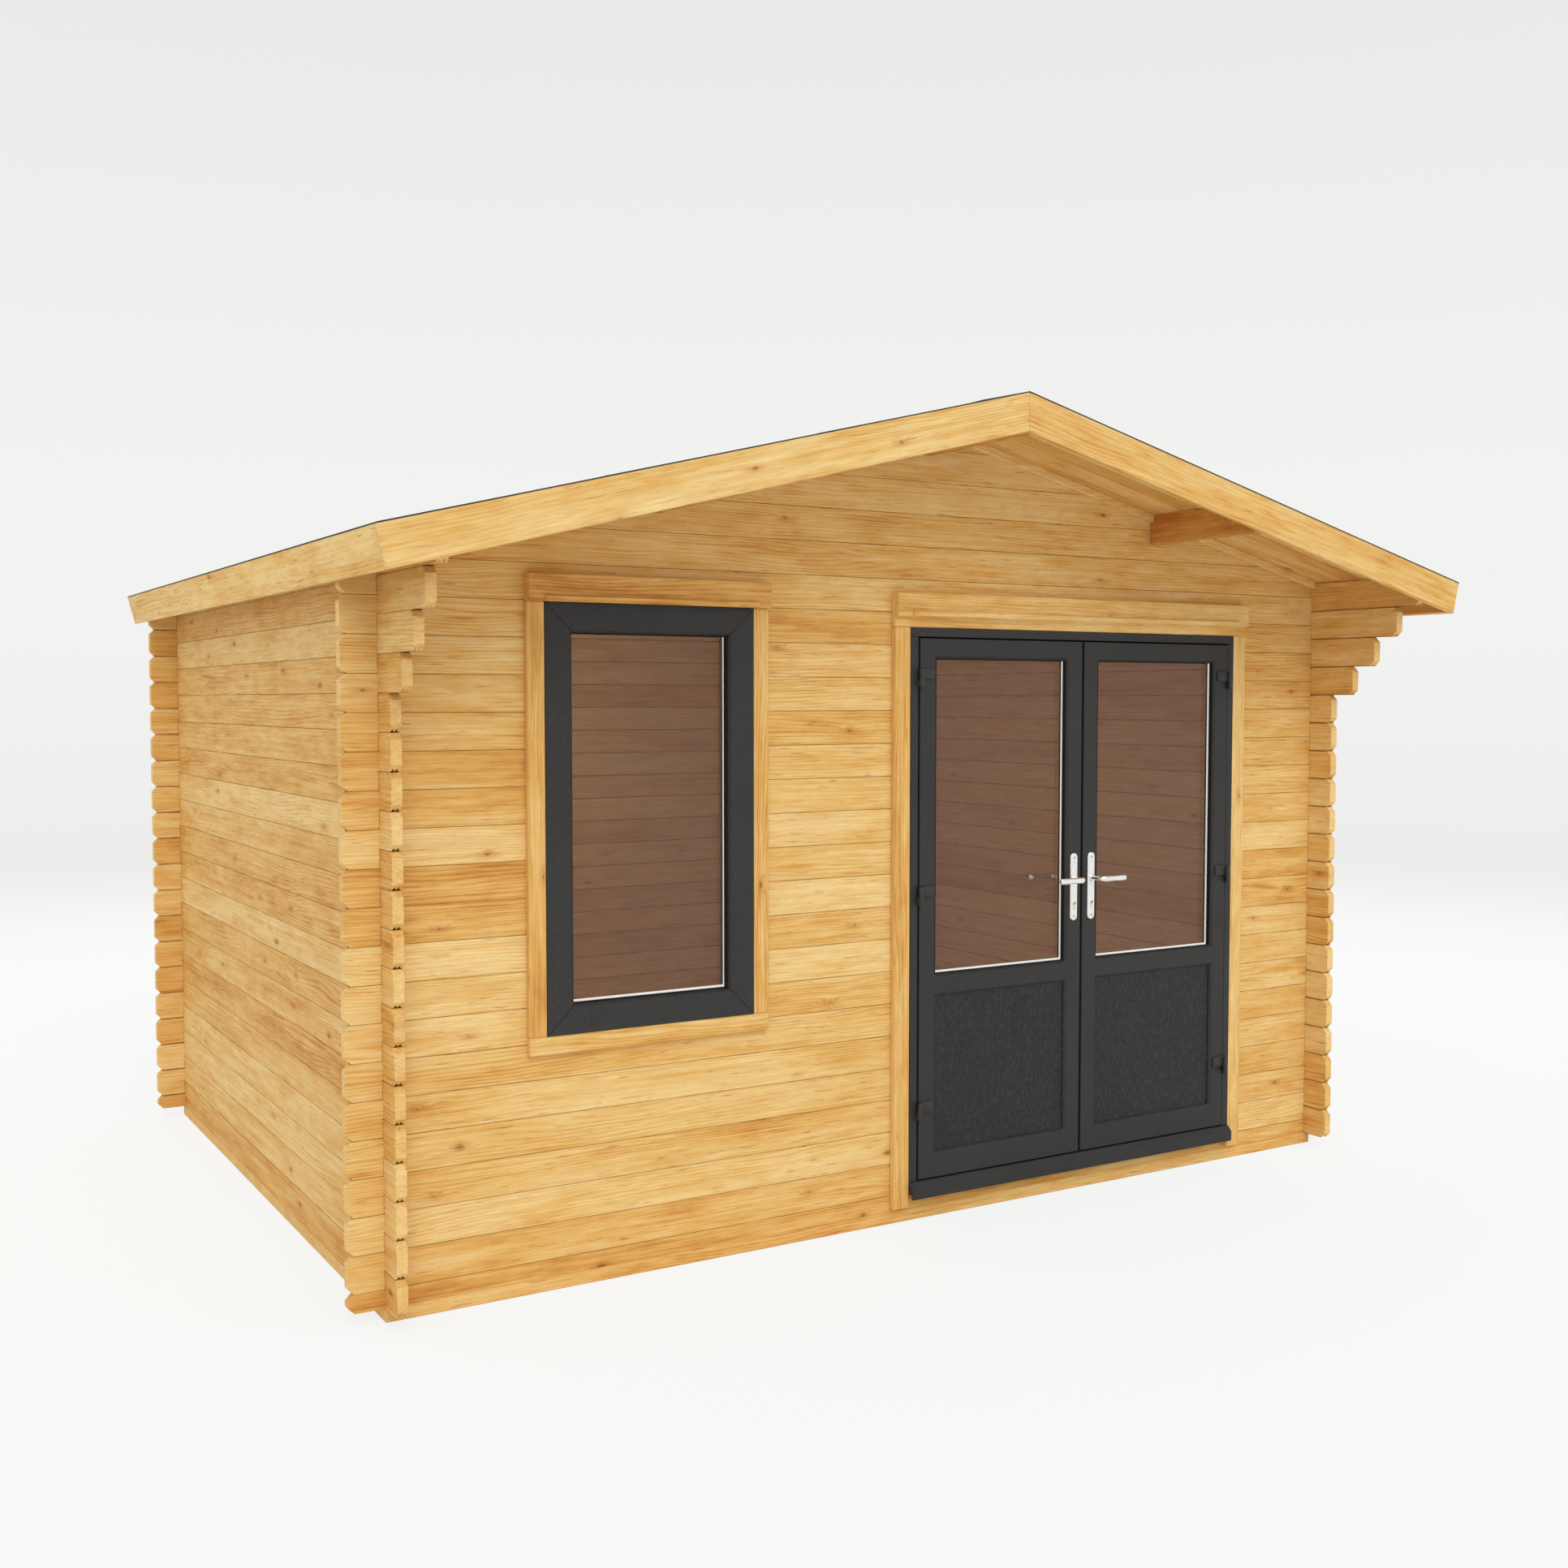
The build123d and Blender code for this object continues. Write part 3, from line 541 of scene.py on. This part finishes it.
# Timber
log_edge = 0.0016
across_rows = dict(along="X", across="Z", board_w=course, board_from=front_rows_z)
side_rows = dict(along="Y", across="Z", board_w=course, board_from=side_rows_z)
front_logs = ("front_wall_base_log", "front_wall_under_window_logs", "front_wall_left_logs",
              "front_wall_middle_logs", "front_wall_right_logs", "front_gable_logs", "back_wall_logs")
for seed, node in enumerate(front_logs):
    finish = pine(f"pine_{node}", seed + 3, inner_seams=node == "back_wall_logs", **across_rows)
    dress(node, finish, log_edge)
for seed, node in enumerate(("left_wall_logs", "right_wall_logs")):
    finish = pine(f"pine_{node}", seed + 21, inner_seams=node == "right_wall_logs", **side_rows)
    dress(node, finish, log_edge)

trim_edge = 0.0025
window_low, window_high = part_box("window_frame")
door_low, door_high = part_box("door_frame")
beam_grain = pine("pine_beams", 33, "Y", "Z")
# The purlins' lower tone is painted shade: it darkens them as the shade under the roof would
purlin_grain_painted_shade = pine("pine_purlins_painted_shade", 39, "Y", "Z", tone=-0.24)
door_upright = (0.0, door_high.z)
dress("door_trim", pine("pine_door_trim", 31, "X", "Z", tone=-0.06, upright=door_upright), trim_edge)
window_upright = (window_low.z, window_high.z)
dress("window_trim", pine("pine_window_trim", 32, "X", "Z", tone=-0.06, upright=window_upright), trim_edge)
dress("frame_packers", pine("pine_packers", 37, "X", "Z"), trim_edge)
dress("gable_battens", pine("pine_battens", 38, "X", "Z", tone=0.12), trim_edge)
dress("foundation_sills", pine("pine_bearers", 34, "X", "Z", tone=-0.12), trim_edge)
for node in ("left_eave_fascia", "right_eave_fascia", "floor_joists"):
    dress(node, beam_grain, trim_edge)
for node in ("left_purlin", "right_purlin", "ridge_purlin"):
    dress(node, purlin_grain_painted_shade, trim_edge)
for side, hand in hands:
    slope_tone = 0.06 + side * 0.10
    slope_grain = pine(f"pine_{hand}_slope", 36 + side, "X", "Z", turn=-side * pitch, tone=slope_tone)
    dress(f"front_{hand}_bargeboard", slope_grain, trim_edge)
    dress(f"back_{hand}_bargeboard", slope_grain, trim_edge)

# Plastic frames and glass
frame_edge = 0.0018
upvc = foiled_plastic("anthracite_foil")
panel_finish = stippled_panel("anthracite_panel")
felt = mineral_felt("mineral_felt")
dress("window_frame", foiled_plastic("anthracite_foil_mitred", (window_low, window_high)), frame_edge)
dress("door_frame", upvc, frame_edge)
dress("door_threshold", upvc, frame_edge)
dress("window_glass", sealed_glass("window_sealed_glass", "window_glass"))
dress("roof_felt", felt)
for _, hand in hands:
    dress(f"{hand}_door_frame", upvc, frame_edge)
    dress(f"{hand}_door_panel", panel_finish)
    dress(f"{hand}_door_glass", sealed_glass(f"{hand}_door_sealed_glass", f"{hand}_door_glass"))

# Metal and rubber
chrome = metal("polished_chrome", (0.95, 0.95, 0.95), 0.24)
nickel = metal("cylinder_nickel", (0.80, 0.79, 0.76), 0.26)
steel = metal("screw_steel", (0.42, 0.42, 0.43), 0.34)
brass = metal("cylinder_brass", (0.62, 0.46, 0.14), 0.28)
nail_zinc = metal("nail_zinc", (0.50, 0.50, 0.50), 0.45)
hinge_coat = mottled("hinge_coat", (0.040, 0.0405, 0.042), 0.45)
gasket_rubber = mottled("gasket_rubber", (0.008, 0.008, 0.008))
# The spacer bar gets a painted glow that brightens it in its shaded recess, though it is no lamp
spacer_satin_painted_glow = mottled("spacer_satin_painted_glow", (0.95, 0.95, 0.94), 0.45, glow=0.28)


def glazing(name, body, node):
    """The pale spacer bar at the back of a sealed unit with a dark seal before it, and the gaskets where
    the frame holds the unit. The unit stands on packers, so the lower bar shows more than the others."""
    low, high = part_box(node)
    inset = Vector((glass_bite, 0.0, glass_bite))
    low, high = low + inset, high - inset
    bar, lip, tuck, seal_t, packer_h = 0.003, 0.004, 0.006, 0.007, 0.006
    front, back = low.y + sheet_t, high.y - sheet_t
    meet = front + seal_t
    bar_low = low + Vector((0.0, 0.0, packer_h))
    bm = bmesh.new()
    border(bm, bar_low, high, [(bar, meet), (bar, back), (-tuck, back), (-tuck, meet)])
    piece(f"{name}_spacer_bar", bm, spacer_satin_painted_glow, body, "handle_chrome")
    bm = bmesh.new()
    border(bm, low, high, [(bar, front), (bar, meet), (-tuck, meet), (-tuck, front)])
    outer, inner = low.y, high.y
    nose, root, inner_rise = 0.0045, 0.0055, 0.003
    outer_lap, inner_lap = 0.0015, 0.0005
    border(bm, low, high, [(0.0, outer), (lip, outer), (0.8 * lip, outer - nose),
                           (-outer_lap, outer - root)])
    border(bm, low, high, [(0.0, inner), (-inner_lap, inner + inner_rise),
                           (0.6 * lip, inner + inner_rise), (lip, inner)])
    piece(f"{name}_gaskets", bm, gasket_rubber, body, "hinge_metal")


glazing("window", "cabin", "window_glass")
for _, hand in hands:
    glazing(f"{hand}_door", f"{hand}_door", f"{hand}_door_glass")


# Handles


def stadium(x, z, width, height, y, steps=10):
    """A ring of points: an upright strip with round ends."""
    r = width / 2
    rise = height / 2 - r
    turns = [math.pi * i / steps for i in range(steps + 1)]
    upper = [(x + r * math.cos(a), y, z + rise + r * math.sin(a)) for a in turns]
    return upper + [(x - r * math.cos(a), y, z - rise - r * math.sin(a)) for a in turns]


def euro_cylinder(x, z, y, steps=16):
    """A ring of points: a round lock barrel with a narrower foot."""
    r, foot_r, drop = 0.0085, 0.005, 0.0195
    start = -math.acos(foot_r / r)
    sweep = math.pi - 2 * start
    foot_steps = steps // 2
    head = [start + sweep * i / steps for i in range(steps + 1)]
    foot = [math.pi + math.pi * i / foot_steps for i in range(foot_steps + 1)]
    return ([(x + r * math.cos(a), y, z + r * math.sin(a)) for a in head]
            + [(x + foot_r * math.cos(a), y, z - drop + foot_r * math.sin(a)) for a in foot])


def keyhole_plug(bm, x, y, z, out):
    """The plug of a lock: a disc with a sunk slot for the key."""
    r, rise, slot_w, slot_h, sunk = 0.0056, 0.0012, 0.0011, 0.0036, 0.0010
    seat, sides = 0.001, 24
    turns = [math.pi / 4 + 2 * math.pi * i / sides for i in range(sides)]
    rings = []
    for far, radius in ((-seat, r), (0.6 * rise, r), (rise, 0.85 * r)):
        rings.append([(x + radius * math.cos(a), y + out * far, z + radius * math.sin(a)) for a in turns])
    for far in (rise, rise - sunk):
        ring = []
        for a in turns:
            reach = max(abs(math.cos(a)) / slot_w, abs(math.sin(a)) / slot_h)
            ring.append((x + math.cos(a) / reach, y + out * far, z + math.sin(a) / reach))
        rings.append(ring)
    loft(bm, rings)


def handle(hand):
    """Plates with rounded rims, two screws and a lock cylinder, outside and inside."""
    node = f"{hand}_door_handle_plates"
    low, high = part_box(node)
    x, z = (low.x + high.x) / 2, (low.z + high.z) / 2
    width, height = high.x - low.x, high.z - low.z
    plates, screws, cylinder, plug = bmesh.new(), bmesh.new(), bmesh.new(), bmesh.new()
    rim = ((0.0, 0.0), (0.55, 0.0), (0.85, 0.0016), (1.0, 0.0042))
    screw = ((0.0, 0.0042), (0.0012, 0.0042), (0.0022, 0.0030), (0.0022, 0.0018), (0.0012, 0.0012))
    screw_in, screw_seat, lock_seat, lock_out, lock_share = 0.018, 0.001, 0.002, 0.0025, 0.24
    screw_rise = height / 2 - screw_in
    lock_z = z - lock_share * height
    for foot_y, out in ((low.y + plate_t, -1), (high.y - plate_t, 1)):
        face_y = foot_y + out * plate_t
        loft(plates, [stadium(x, z, width - 2 * cut, height - 2 * cut, foot_y + out * plate_t * share)
                      for share, cut in rim])
        for rise in (screw_rise, -screw_rise):
            turned(screws, (x, face_y - out * screw_seat, z + rise), (0, out, 0), screw, 12)
        lock_y = face_y + out * lock_out
        loft(cylinder, [euro_cylinder(x, lock_z, y) for y in (face_y - out * lock_seat, lock_y)])
        keyhole_plug(plug, x, lock_y, lock_z, out)
    piece(f"{hand}_handle_plates", plates, chrome, f"{hand}_door", "handle_chrome", node)
    piece(f"{hand}_handle_screws", screws, steel, f"{hand}_door", "handle_chrome")
    piece(f"{hand}_lock_cylinder", cylinder, nickel, f"{hand}_door", "handle_chrome")
    piece(f"{hand}_lock_plug", plug, brass, f"{hand}_door", "handle_chrome")


def lever_stations(reach, length):
    """Middle line of a lever, out from the door and then along it, with its direction and radius."""
    bend, steps = 0.016, 6
    neck = ((0.0, 1.35), (0.004, 1.35), (0.006, 1.0), (0.020, 0.90), (reach - bend, 0.94))
    stations = [((out, 0.0), (1.0, 0.0), share) for out, share in neck]
    for i in range(1, steps):
        a = math.pi / 2 * i / steps
        middle = (reach - bend + bend * math.sin(a), bend - bend * math.cos(a))
        stations.append((middle, (math.cos(a), math.sin(a)), 0.96))
    arm = ((bend, 0.98), (0.45 * length, 0.90), (0.80 * length, 0.98), (length - 0.005, 0.98),
           (length - 0.0018, 0.80), (length, 0.40))
    return stations + [((reach, along), (0.0, 1.0), share) for along, share in arm]


def lever(side, hand):
    """The outer and inner lever of a leaf: collar, neck, bend and an upright oval arm with a domed end."""
    node = f"{hand}_door_lever"
    low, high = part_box(node)
    plate_low, plate_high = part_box(f"{hand}_door_handle_plates")
    x, z = (plate_low.x + plate_high.x) / 2, (low.z + high.z) / 2
    length = high.x - low.x - lever_r
    gap, sides = 0.0005, 20
    bm = bmesh.new()
    for foot_y, tip_y, out in ((plate_low.y - gap, low.y, -1), (plate_high.y + gap, high.y, 1)):
        reach = abs(tip_y - foot_y) - lever_r
        rings = []
        for (far, along), (go_out, go_along), share in lever_stations(reach, length):
            middle = Vector((x + side * along, foot_y + out * far, z))
            across = Vector((-side * go_out, out * go_along, 0.0)) * lever_r * share
            rise = Vector((0.0, 0.0, lever_r * share * (1 + lever_oval * go_along)))
            angles = [2 * math.pi * i / sides for i in range(sides)]
            rings.append([middle + across * math.cos(a) + rise * math.sin(a) for a in angles])
        loft(bm, rings)
    piece(f"{hand}_lever_handle", bm, chrome, f"{hand}_lever", "handle_chrome", node)


# Hinges


def rounded_block(bm, low, high, cut):
    """A block whose corners seen from the front are cut and whose rim is eased."""
    x0, y0, z0 = low
    x1, y1, z1 = high
    rings = []
    for y, inset in ((y1, 0.0), (y0 + cut, 0.0), (y0, cut)):
        a, b, c, d = x0 + inset, x1 - inset, z0 + inset, z1 - inset
        rings.append([(a + cut, y, c), (b - cut, y, c), (b, y, c + cut), (b, y, d - cut),
                      (b - cut, y, d), (a + cut, y, d), (a, y, d - cut), (a, y, c + cut)])
    loft(bm, rings)


def hinges():
    """Barrels with domed caps: the lower halves stand on the jambs, the upper ones carry flags."""
    dome_h, block_cut, flag_cut = 0.004, 0.0015, 0.0025
    dome = ((0.0, 0.55 * knuckle_r), (dome_h / 2, 0.9 * knuckle_r), (dome_h, knuckle_r))
    lower = [*dome, (knuckle_h, knuckle_r)]
    upper = [(0.0, knuckle_r)] + [(flag_h - far, radius) for far, radius in reversed(dome)]
    knuckles = bmesh.new()
    for side, hand in hands:
        node = f"{hand}_door_hinge_flags"
        leaf_low, leaf_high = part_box(f"{hand}_door_frame")
        low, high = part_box(node)
        axis_x = (low.x if side < 0 else high.x) - side * knuckle_r
        axis_y = low.y + knuckle_r
        flag_end = high.x if side < 0 else low.x
        flags = bmesh.new()
        for share in hinge_height_shares:
            foot = leaf_low.z + share * (leaf_high.z - leaf_low.z)
            turned(knuckles, (axis_x, axis_y, foot), (0, 0, 1), lower)
            block_x = axis_x + side * knuckle_r
            rounded_block(knuckles, (min(axis_x, block_x), axis_y, foot + dome_h),
                          (max(axis_x, block_x), door_low.y, foot + knuckle_h), block_cut)
            flag_foot = foot + knuckle_h + knuckle_gap
            turned(flags, (axis_x, axis_y, flag_foot), (0, 0, 1), upper)
            rounded_block(flags, (min(axis_x, flag_end), leaf_low.y - flag_t, flag_foot),
                          (max(axis_x, flag_end), leaf_low.y, flag_foot + flag_h), flag_cut)
        piece(f"{hand}_hinge_leaves", flags, hinge_coat, f"{hand}_door", "hinge_metal", node)
    piece("jamb_hinge_barrels", knuckles, hinge_coat, "cabin", "hinge_metal", "frame_hinge_knuckles")


for side, hand in hands:
    handle(hand)
    lever(side, hand)
hinges()


# Roof and floor boards


def slope_point(side, s, t, y):
    """A point s down the slope from the ridge and t above the underside of the roof."""
    return (side * (s * slope_cos + t * slope_sin), y, ridge_z - s * slope_sin + t * slope_cos)


def roof_boards(side, hand):
    """Boards from the ridge to the eave, with a V at each joint below."""
    node = f"{hand}_roof_boards"
    low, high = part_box(node)
    reach = max(abs(low.x), abs(high.x))
    foot_s = (reach - roof_board_t * slope_sin) / slope_cos
    count = 38
    width = (high.y - low.y) / count
    gap, vee = 0.0004, 0.004
    bm = bmesh.new()
    for i in range(count):
        y0 = low.y + i * width + gap
        y1 = low.y + (i + 1) * width - gap
        profile = [(y0 + vee, 0.0), (y1 - vee, 0.0), (y1, vee),
                   (y1, roof_board_t), (y0, roof_board_t), (y0, vee)]
        upper = [slope_point(side, -t * slope_tan, t, y) for y, t in profile]
        lower = [slope_point(side, foot_s, t, y) for y, t in profile]
        loft(bm, [upper, lower])
    finish = pine(f"pine_{node}", 42 + side, "X", "Y", width, low.y, -side * pitch)
    piece(f"{hand}_roof_planks", bm, finish, "cabin", "pine_boards", node)


def floor_planks():
    """Floor boards along the front, with a narrow V at each joint."""
    low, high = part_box("floor_boards")
    count = 28
    width = (high.y - low.y) / count
    gap, vee = 0.0004, 0.002
    bm = bmesh.new()
    for i in range(count):
        y0 = low.y + i * width + gap
        y1 = low.y + (i + 1) * width - gap
        shoulder = high.z - vee
        profile = [(y0, low.z), (y1, low.z), (y1, shoulder),
                   (y1 - vee, high.z), (y0 + vee, high.z), (y0, shoulder)]
        loft(bm, [[(x, y, z) for y, z in profile] for x in (low.x, high.x)])
    finish = pine("pine_floor_planks", 45, "X", "Y", width, low.y)
    piece("floor_planks", bm, finish, "cabin", "pine_boards", "floor_boards")


def felt_laps():
    """Lapped sheets of felt on each slope, a cap over the ridge, and clout nails along the laps."""
    felt_top = roof_board_t + felt_t
    foot_s = (cad_high.x - felt_top * slope_sin) / slope_cos
    lap_t, cap_w, nail_pitch, nail_in, set_back = 0.0016, 0.16, 0.12, 0.02, 0.035
    sunk, upper_t = 0.001, 0.0004
    front, back = roof_front + set_back, roof_back - set_back
    sheet_shares = ((0.0, 0.36), (0.33, 0.69), (0.66, 0.992))
    laps, nails = bmesh.new(), bmesh.new()

    def sheet(side, s0, s1, t0, t1):
        section = ((s0, t0 - sunk), (s1, t0 - sunk), (s1, t1), (s0, t0 + upper_t))
        loft(laps, [[slope_point(side, s, t, y) for s, t in section] for y in (front, back)])

    def nail(side, s, t, y):
        stations = ((-0.001, 0.0045), (0.0005, 0.0045), (0.0011, 0.0030))
        turned(nails, slope_point(side, s, t, y), (side * slope_sin, 0, slope_cos), stations, 8)

    nail_count = int((back - front - 2 * nail_in) / nail_pitch)
    nail_step = (back - front - 2 * nail_in) / nail_count
    nail_ys = [front + nail_in + i * nail_step for i in range(nail_count + 1)]
    for side, _ in hands:
        for start_share, end_share in sheet_shares:
            end_s = end_share * foot_s
            sheet(side, start_share * foot_s, end_s, felt_top, felt_top + lap_t)
            for y in nail_ys:
                nail(side, end_s - nail_in, felt_top + lap_t * 0.95, y)
        sheet(side, 0.0, cap_w, felt_top + lap_t / 2, felt_top + 2 * lap_t)
        for y in nail_ys:
            nail(side, cap_w - nail_in, felt_top + 1.8 * lap_t, y)
    piece("felt_sheets", laps, felt, "cabin", "roof_felt")
    piece("felt_nails", nails, nail_zinc, "cabin", "hinge_metal")


for side, hand in hands:
    roof_boards(side, hand)
floor_planks()
felt_laps()


# Stage, light and camera


def stage_floor():
    """A white floor that keeps the soft shadow and fades out into the backdrop."""
    floor_r, fade_from, fade_to, glow_share = 14.0, 5.0, 13.5, 0.80
    data = bpy.data.meshes.new("stage_floor")
    bm = bmesh.new()
    bmesh.ops.create_circle(bm, cap_ends=True, segments=96, radius=floor_r)
    bm.to_mesh(data)
    bm.free()
    floor = bpy.data.objects.new("stage_floor", data)
    bpy.context.scene.collection.objects.link(floor)
    g = Graph("stage_white")
    g.shader.inputs["Base Color"].default_value = (0.93, 0.93, 0.925, 1.0)
    g.shader.inputs["Roughness"].default_value = 0.9
    g.shader.inputs["Specular IOR Level"].default_value = 0.0
    glow = g.node("ShaderNodeEmission", {"Color": (0.962, 0.980, 0.985, 1.0), "Strength": 1.0})
    path = g.node("ShaderNodeLightPath")
    white = g.node("ShaderNodeMixShader", {0: g.times(path.outputs["Is Camera Ray"], glow_share)})
    fade = g.node("ShaderNodeMixShader")
    clear = g.node("ShaderNodeBsdfTransparent")
    x, y, z = g.place()
    from_middle = g.math("SQRT", g.add(g.times(x, x), g.times(y, y)))
    g.feed(fade.inputs[0], g.band(from_middle, fade_to, fade_from))
    for start, end in ((g.shader.outputs[0], white.inputs[1]), (glow.outputs[0], white.inputs[2]),
                       (clear.outputs[0], fade.inputs[1]), (white.outputs[0], fade.inputs[2]),
                       (fade.outputs[0], g.tree.nodes["Material Output"].inputs["Surface"])):
        g.tree.links.new(start, end)
    data.materials.append(g.material)


def studio():
    """Even studio light; the camera sees a pale backdrop instead of it."""
    world = bpy.data.worlds.new("studio")
    world.use_nodes = True
    bpy.context.scene.world = world
    tree = world.node_tree
    light = tree.nodes["Background"]
    light.inputs["Color"].default_value = (1.0, 0.982, 0.94, 1.0)
    light.inputs["Strength"].default_value = 0.80
    backdrop = tree.nodes.new("ShaderNodeBackground")
    direction = tree.nodes.new("ShaderNodeTexCoord")
    split = tree.nodes.new("ShaderNodeSeparateXYZ")
    # The height of a direction goes from -1 to 1, and the ramp from 0 to 1
    rise = tree.nodes.new("ShaderNodeMath")
    rise.operation = "MULTIPLY_ADD"
    rise.inputs[1].default_value = 0.5
    rise.inputs[2].default_value = 0.5
    ramp = tree.nodes.new("ShaderNodeValToRGB")
    stops = ((0.30, 0.985), (0.412, 0.985), (0.442, 0.875), (0.456, 0.843), (0.47, 0.857),
             (0.515, 0.888), (0.564, 0.888), (0.633, 0.855), (0.75, 0.79))
    while len(ramp.color_ramp.elements) < len(stops):
        ramp.color_ramp.elements.new(1.0)
    for element, (place, grey) in zip(ramp.color_ramp.elements, stops):
        element.position = place
        element.color = (grey, grey, grey * 0.985, 1.0)
    path = tree.nodes.new("ShaderNodeLightPath")
    seen = tree.nodes.new("ShaderNodeMath")
    seen_any = tree.nodes.new("ShaderNodeMath")
    seen_any.use_clamp = True
    choose = tree.nodes.new("ShaderNodeMixShader")
    for start, end in (
        (direction.outputs["Generated"], split.inputs[0]),
        (split.outputs["Z"], rise.inputs[0]),
        (rise.outputs[0], ramp.inputs[0]),
        (ramp.outputs[0], backdrop.inputs["Color"]),
        (path.outputs["Is Camera Ray"], seen.inputs[0]),
        (path.outputs["Is Glossy Ray"], seen.inputs[1]),
        (seen.outputs[0], seen_any.inputs[0]),
        (path.outputs["Is Transmission Ray"], seen_any.inputs[1]),
        (seen_any.outputs[0], choose.inputs[0]),
        (light.outputs[0], choose.inputs[1]),
        (backdrop.outputs[0], choose.inputs[2]),
        (choose.outputs[0], tree.nodes["World Output"].inputs["Surface"]),
    ):
        tree.links.new(start, end)


def soft_key():
    """A broad soft light from the front, a little to the left."""
    data = bpy.data.lights.new("soft_key", "SUN")
    data.energy = 0.95
    data.angle = math.radians(40)
    data.color = (1.0, 0.985, 0.95)
    sun = bpy.data.objects.new("soft_key", data)
    sun.rotation_euler = (math.radians(48), 0.0, math.radians(-14))
    bpy.context.scene.collection.objects.link(sun)


def room_fill():
    """A soft fill inside, so that the far walls show through the tinted glass."""
    data = bpy.data.lights.new("room_fill", "POINT")
    data.energy = 16.0
    data.shadow_soft_size = 0.35
    lamp = bpy.data.objects.new("room_fill", data)
    lamp.location = (-1.1, 0.6, 1.9)
    lamp.visible_camera = False
    lamp.visible_glossy = False
    lamp.visible_transmission = False
    bpy.context.scene.collection.objects.link(lamp)


def photo_camera():
    """The camera at the photo's place."""
    data = bpy.data.cameras.new("photo_view")
    data.sensor_width = 36.0
    data.lens = 38.14
    camera = bpy.data.objects.new("photo_view", data)
    camera.location = (-3.4517, -6.0094, 1.8472)
    camera.rotation_euler = (math.radians(90 - 2.891), 0.0, math.radians(-30.995))
    bpy.context.scene.collection.objects.link(camera)
    bpy.context.scene.camera = camera


stage_floor()
studio()
soft_key()
room_fill()
photo_camera()
bpy.context.scene.view_settings.view_transform = "Standard"

bpy.context.view_layer.update()
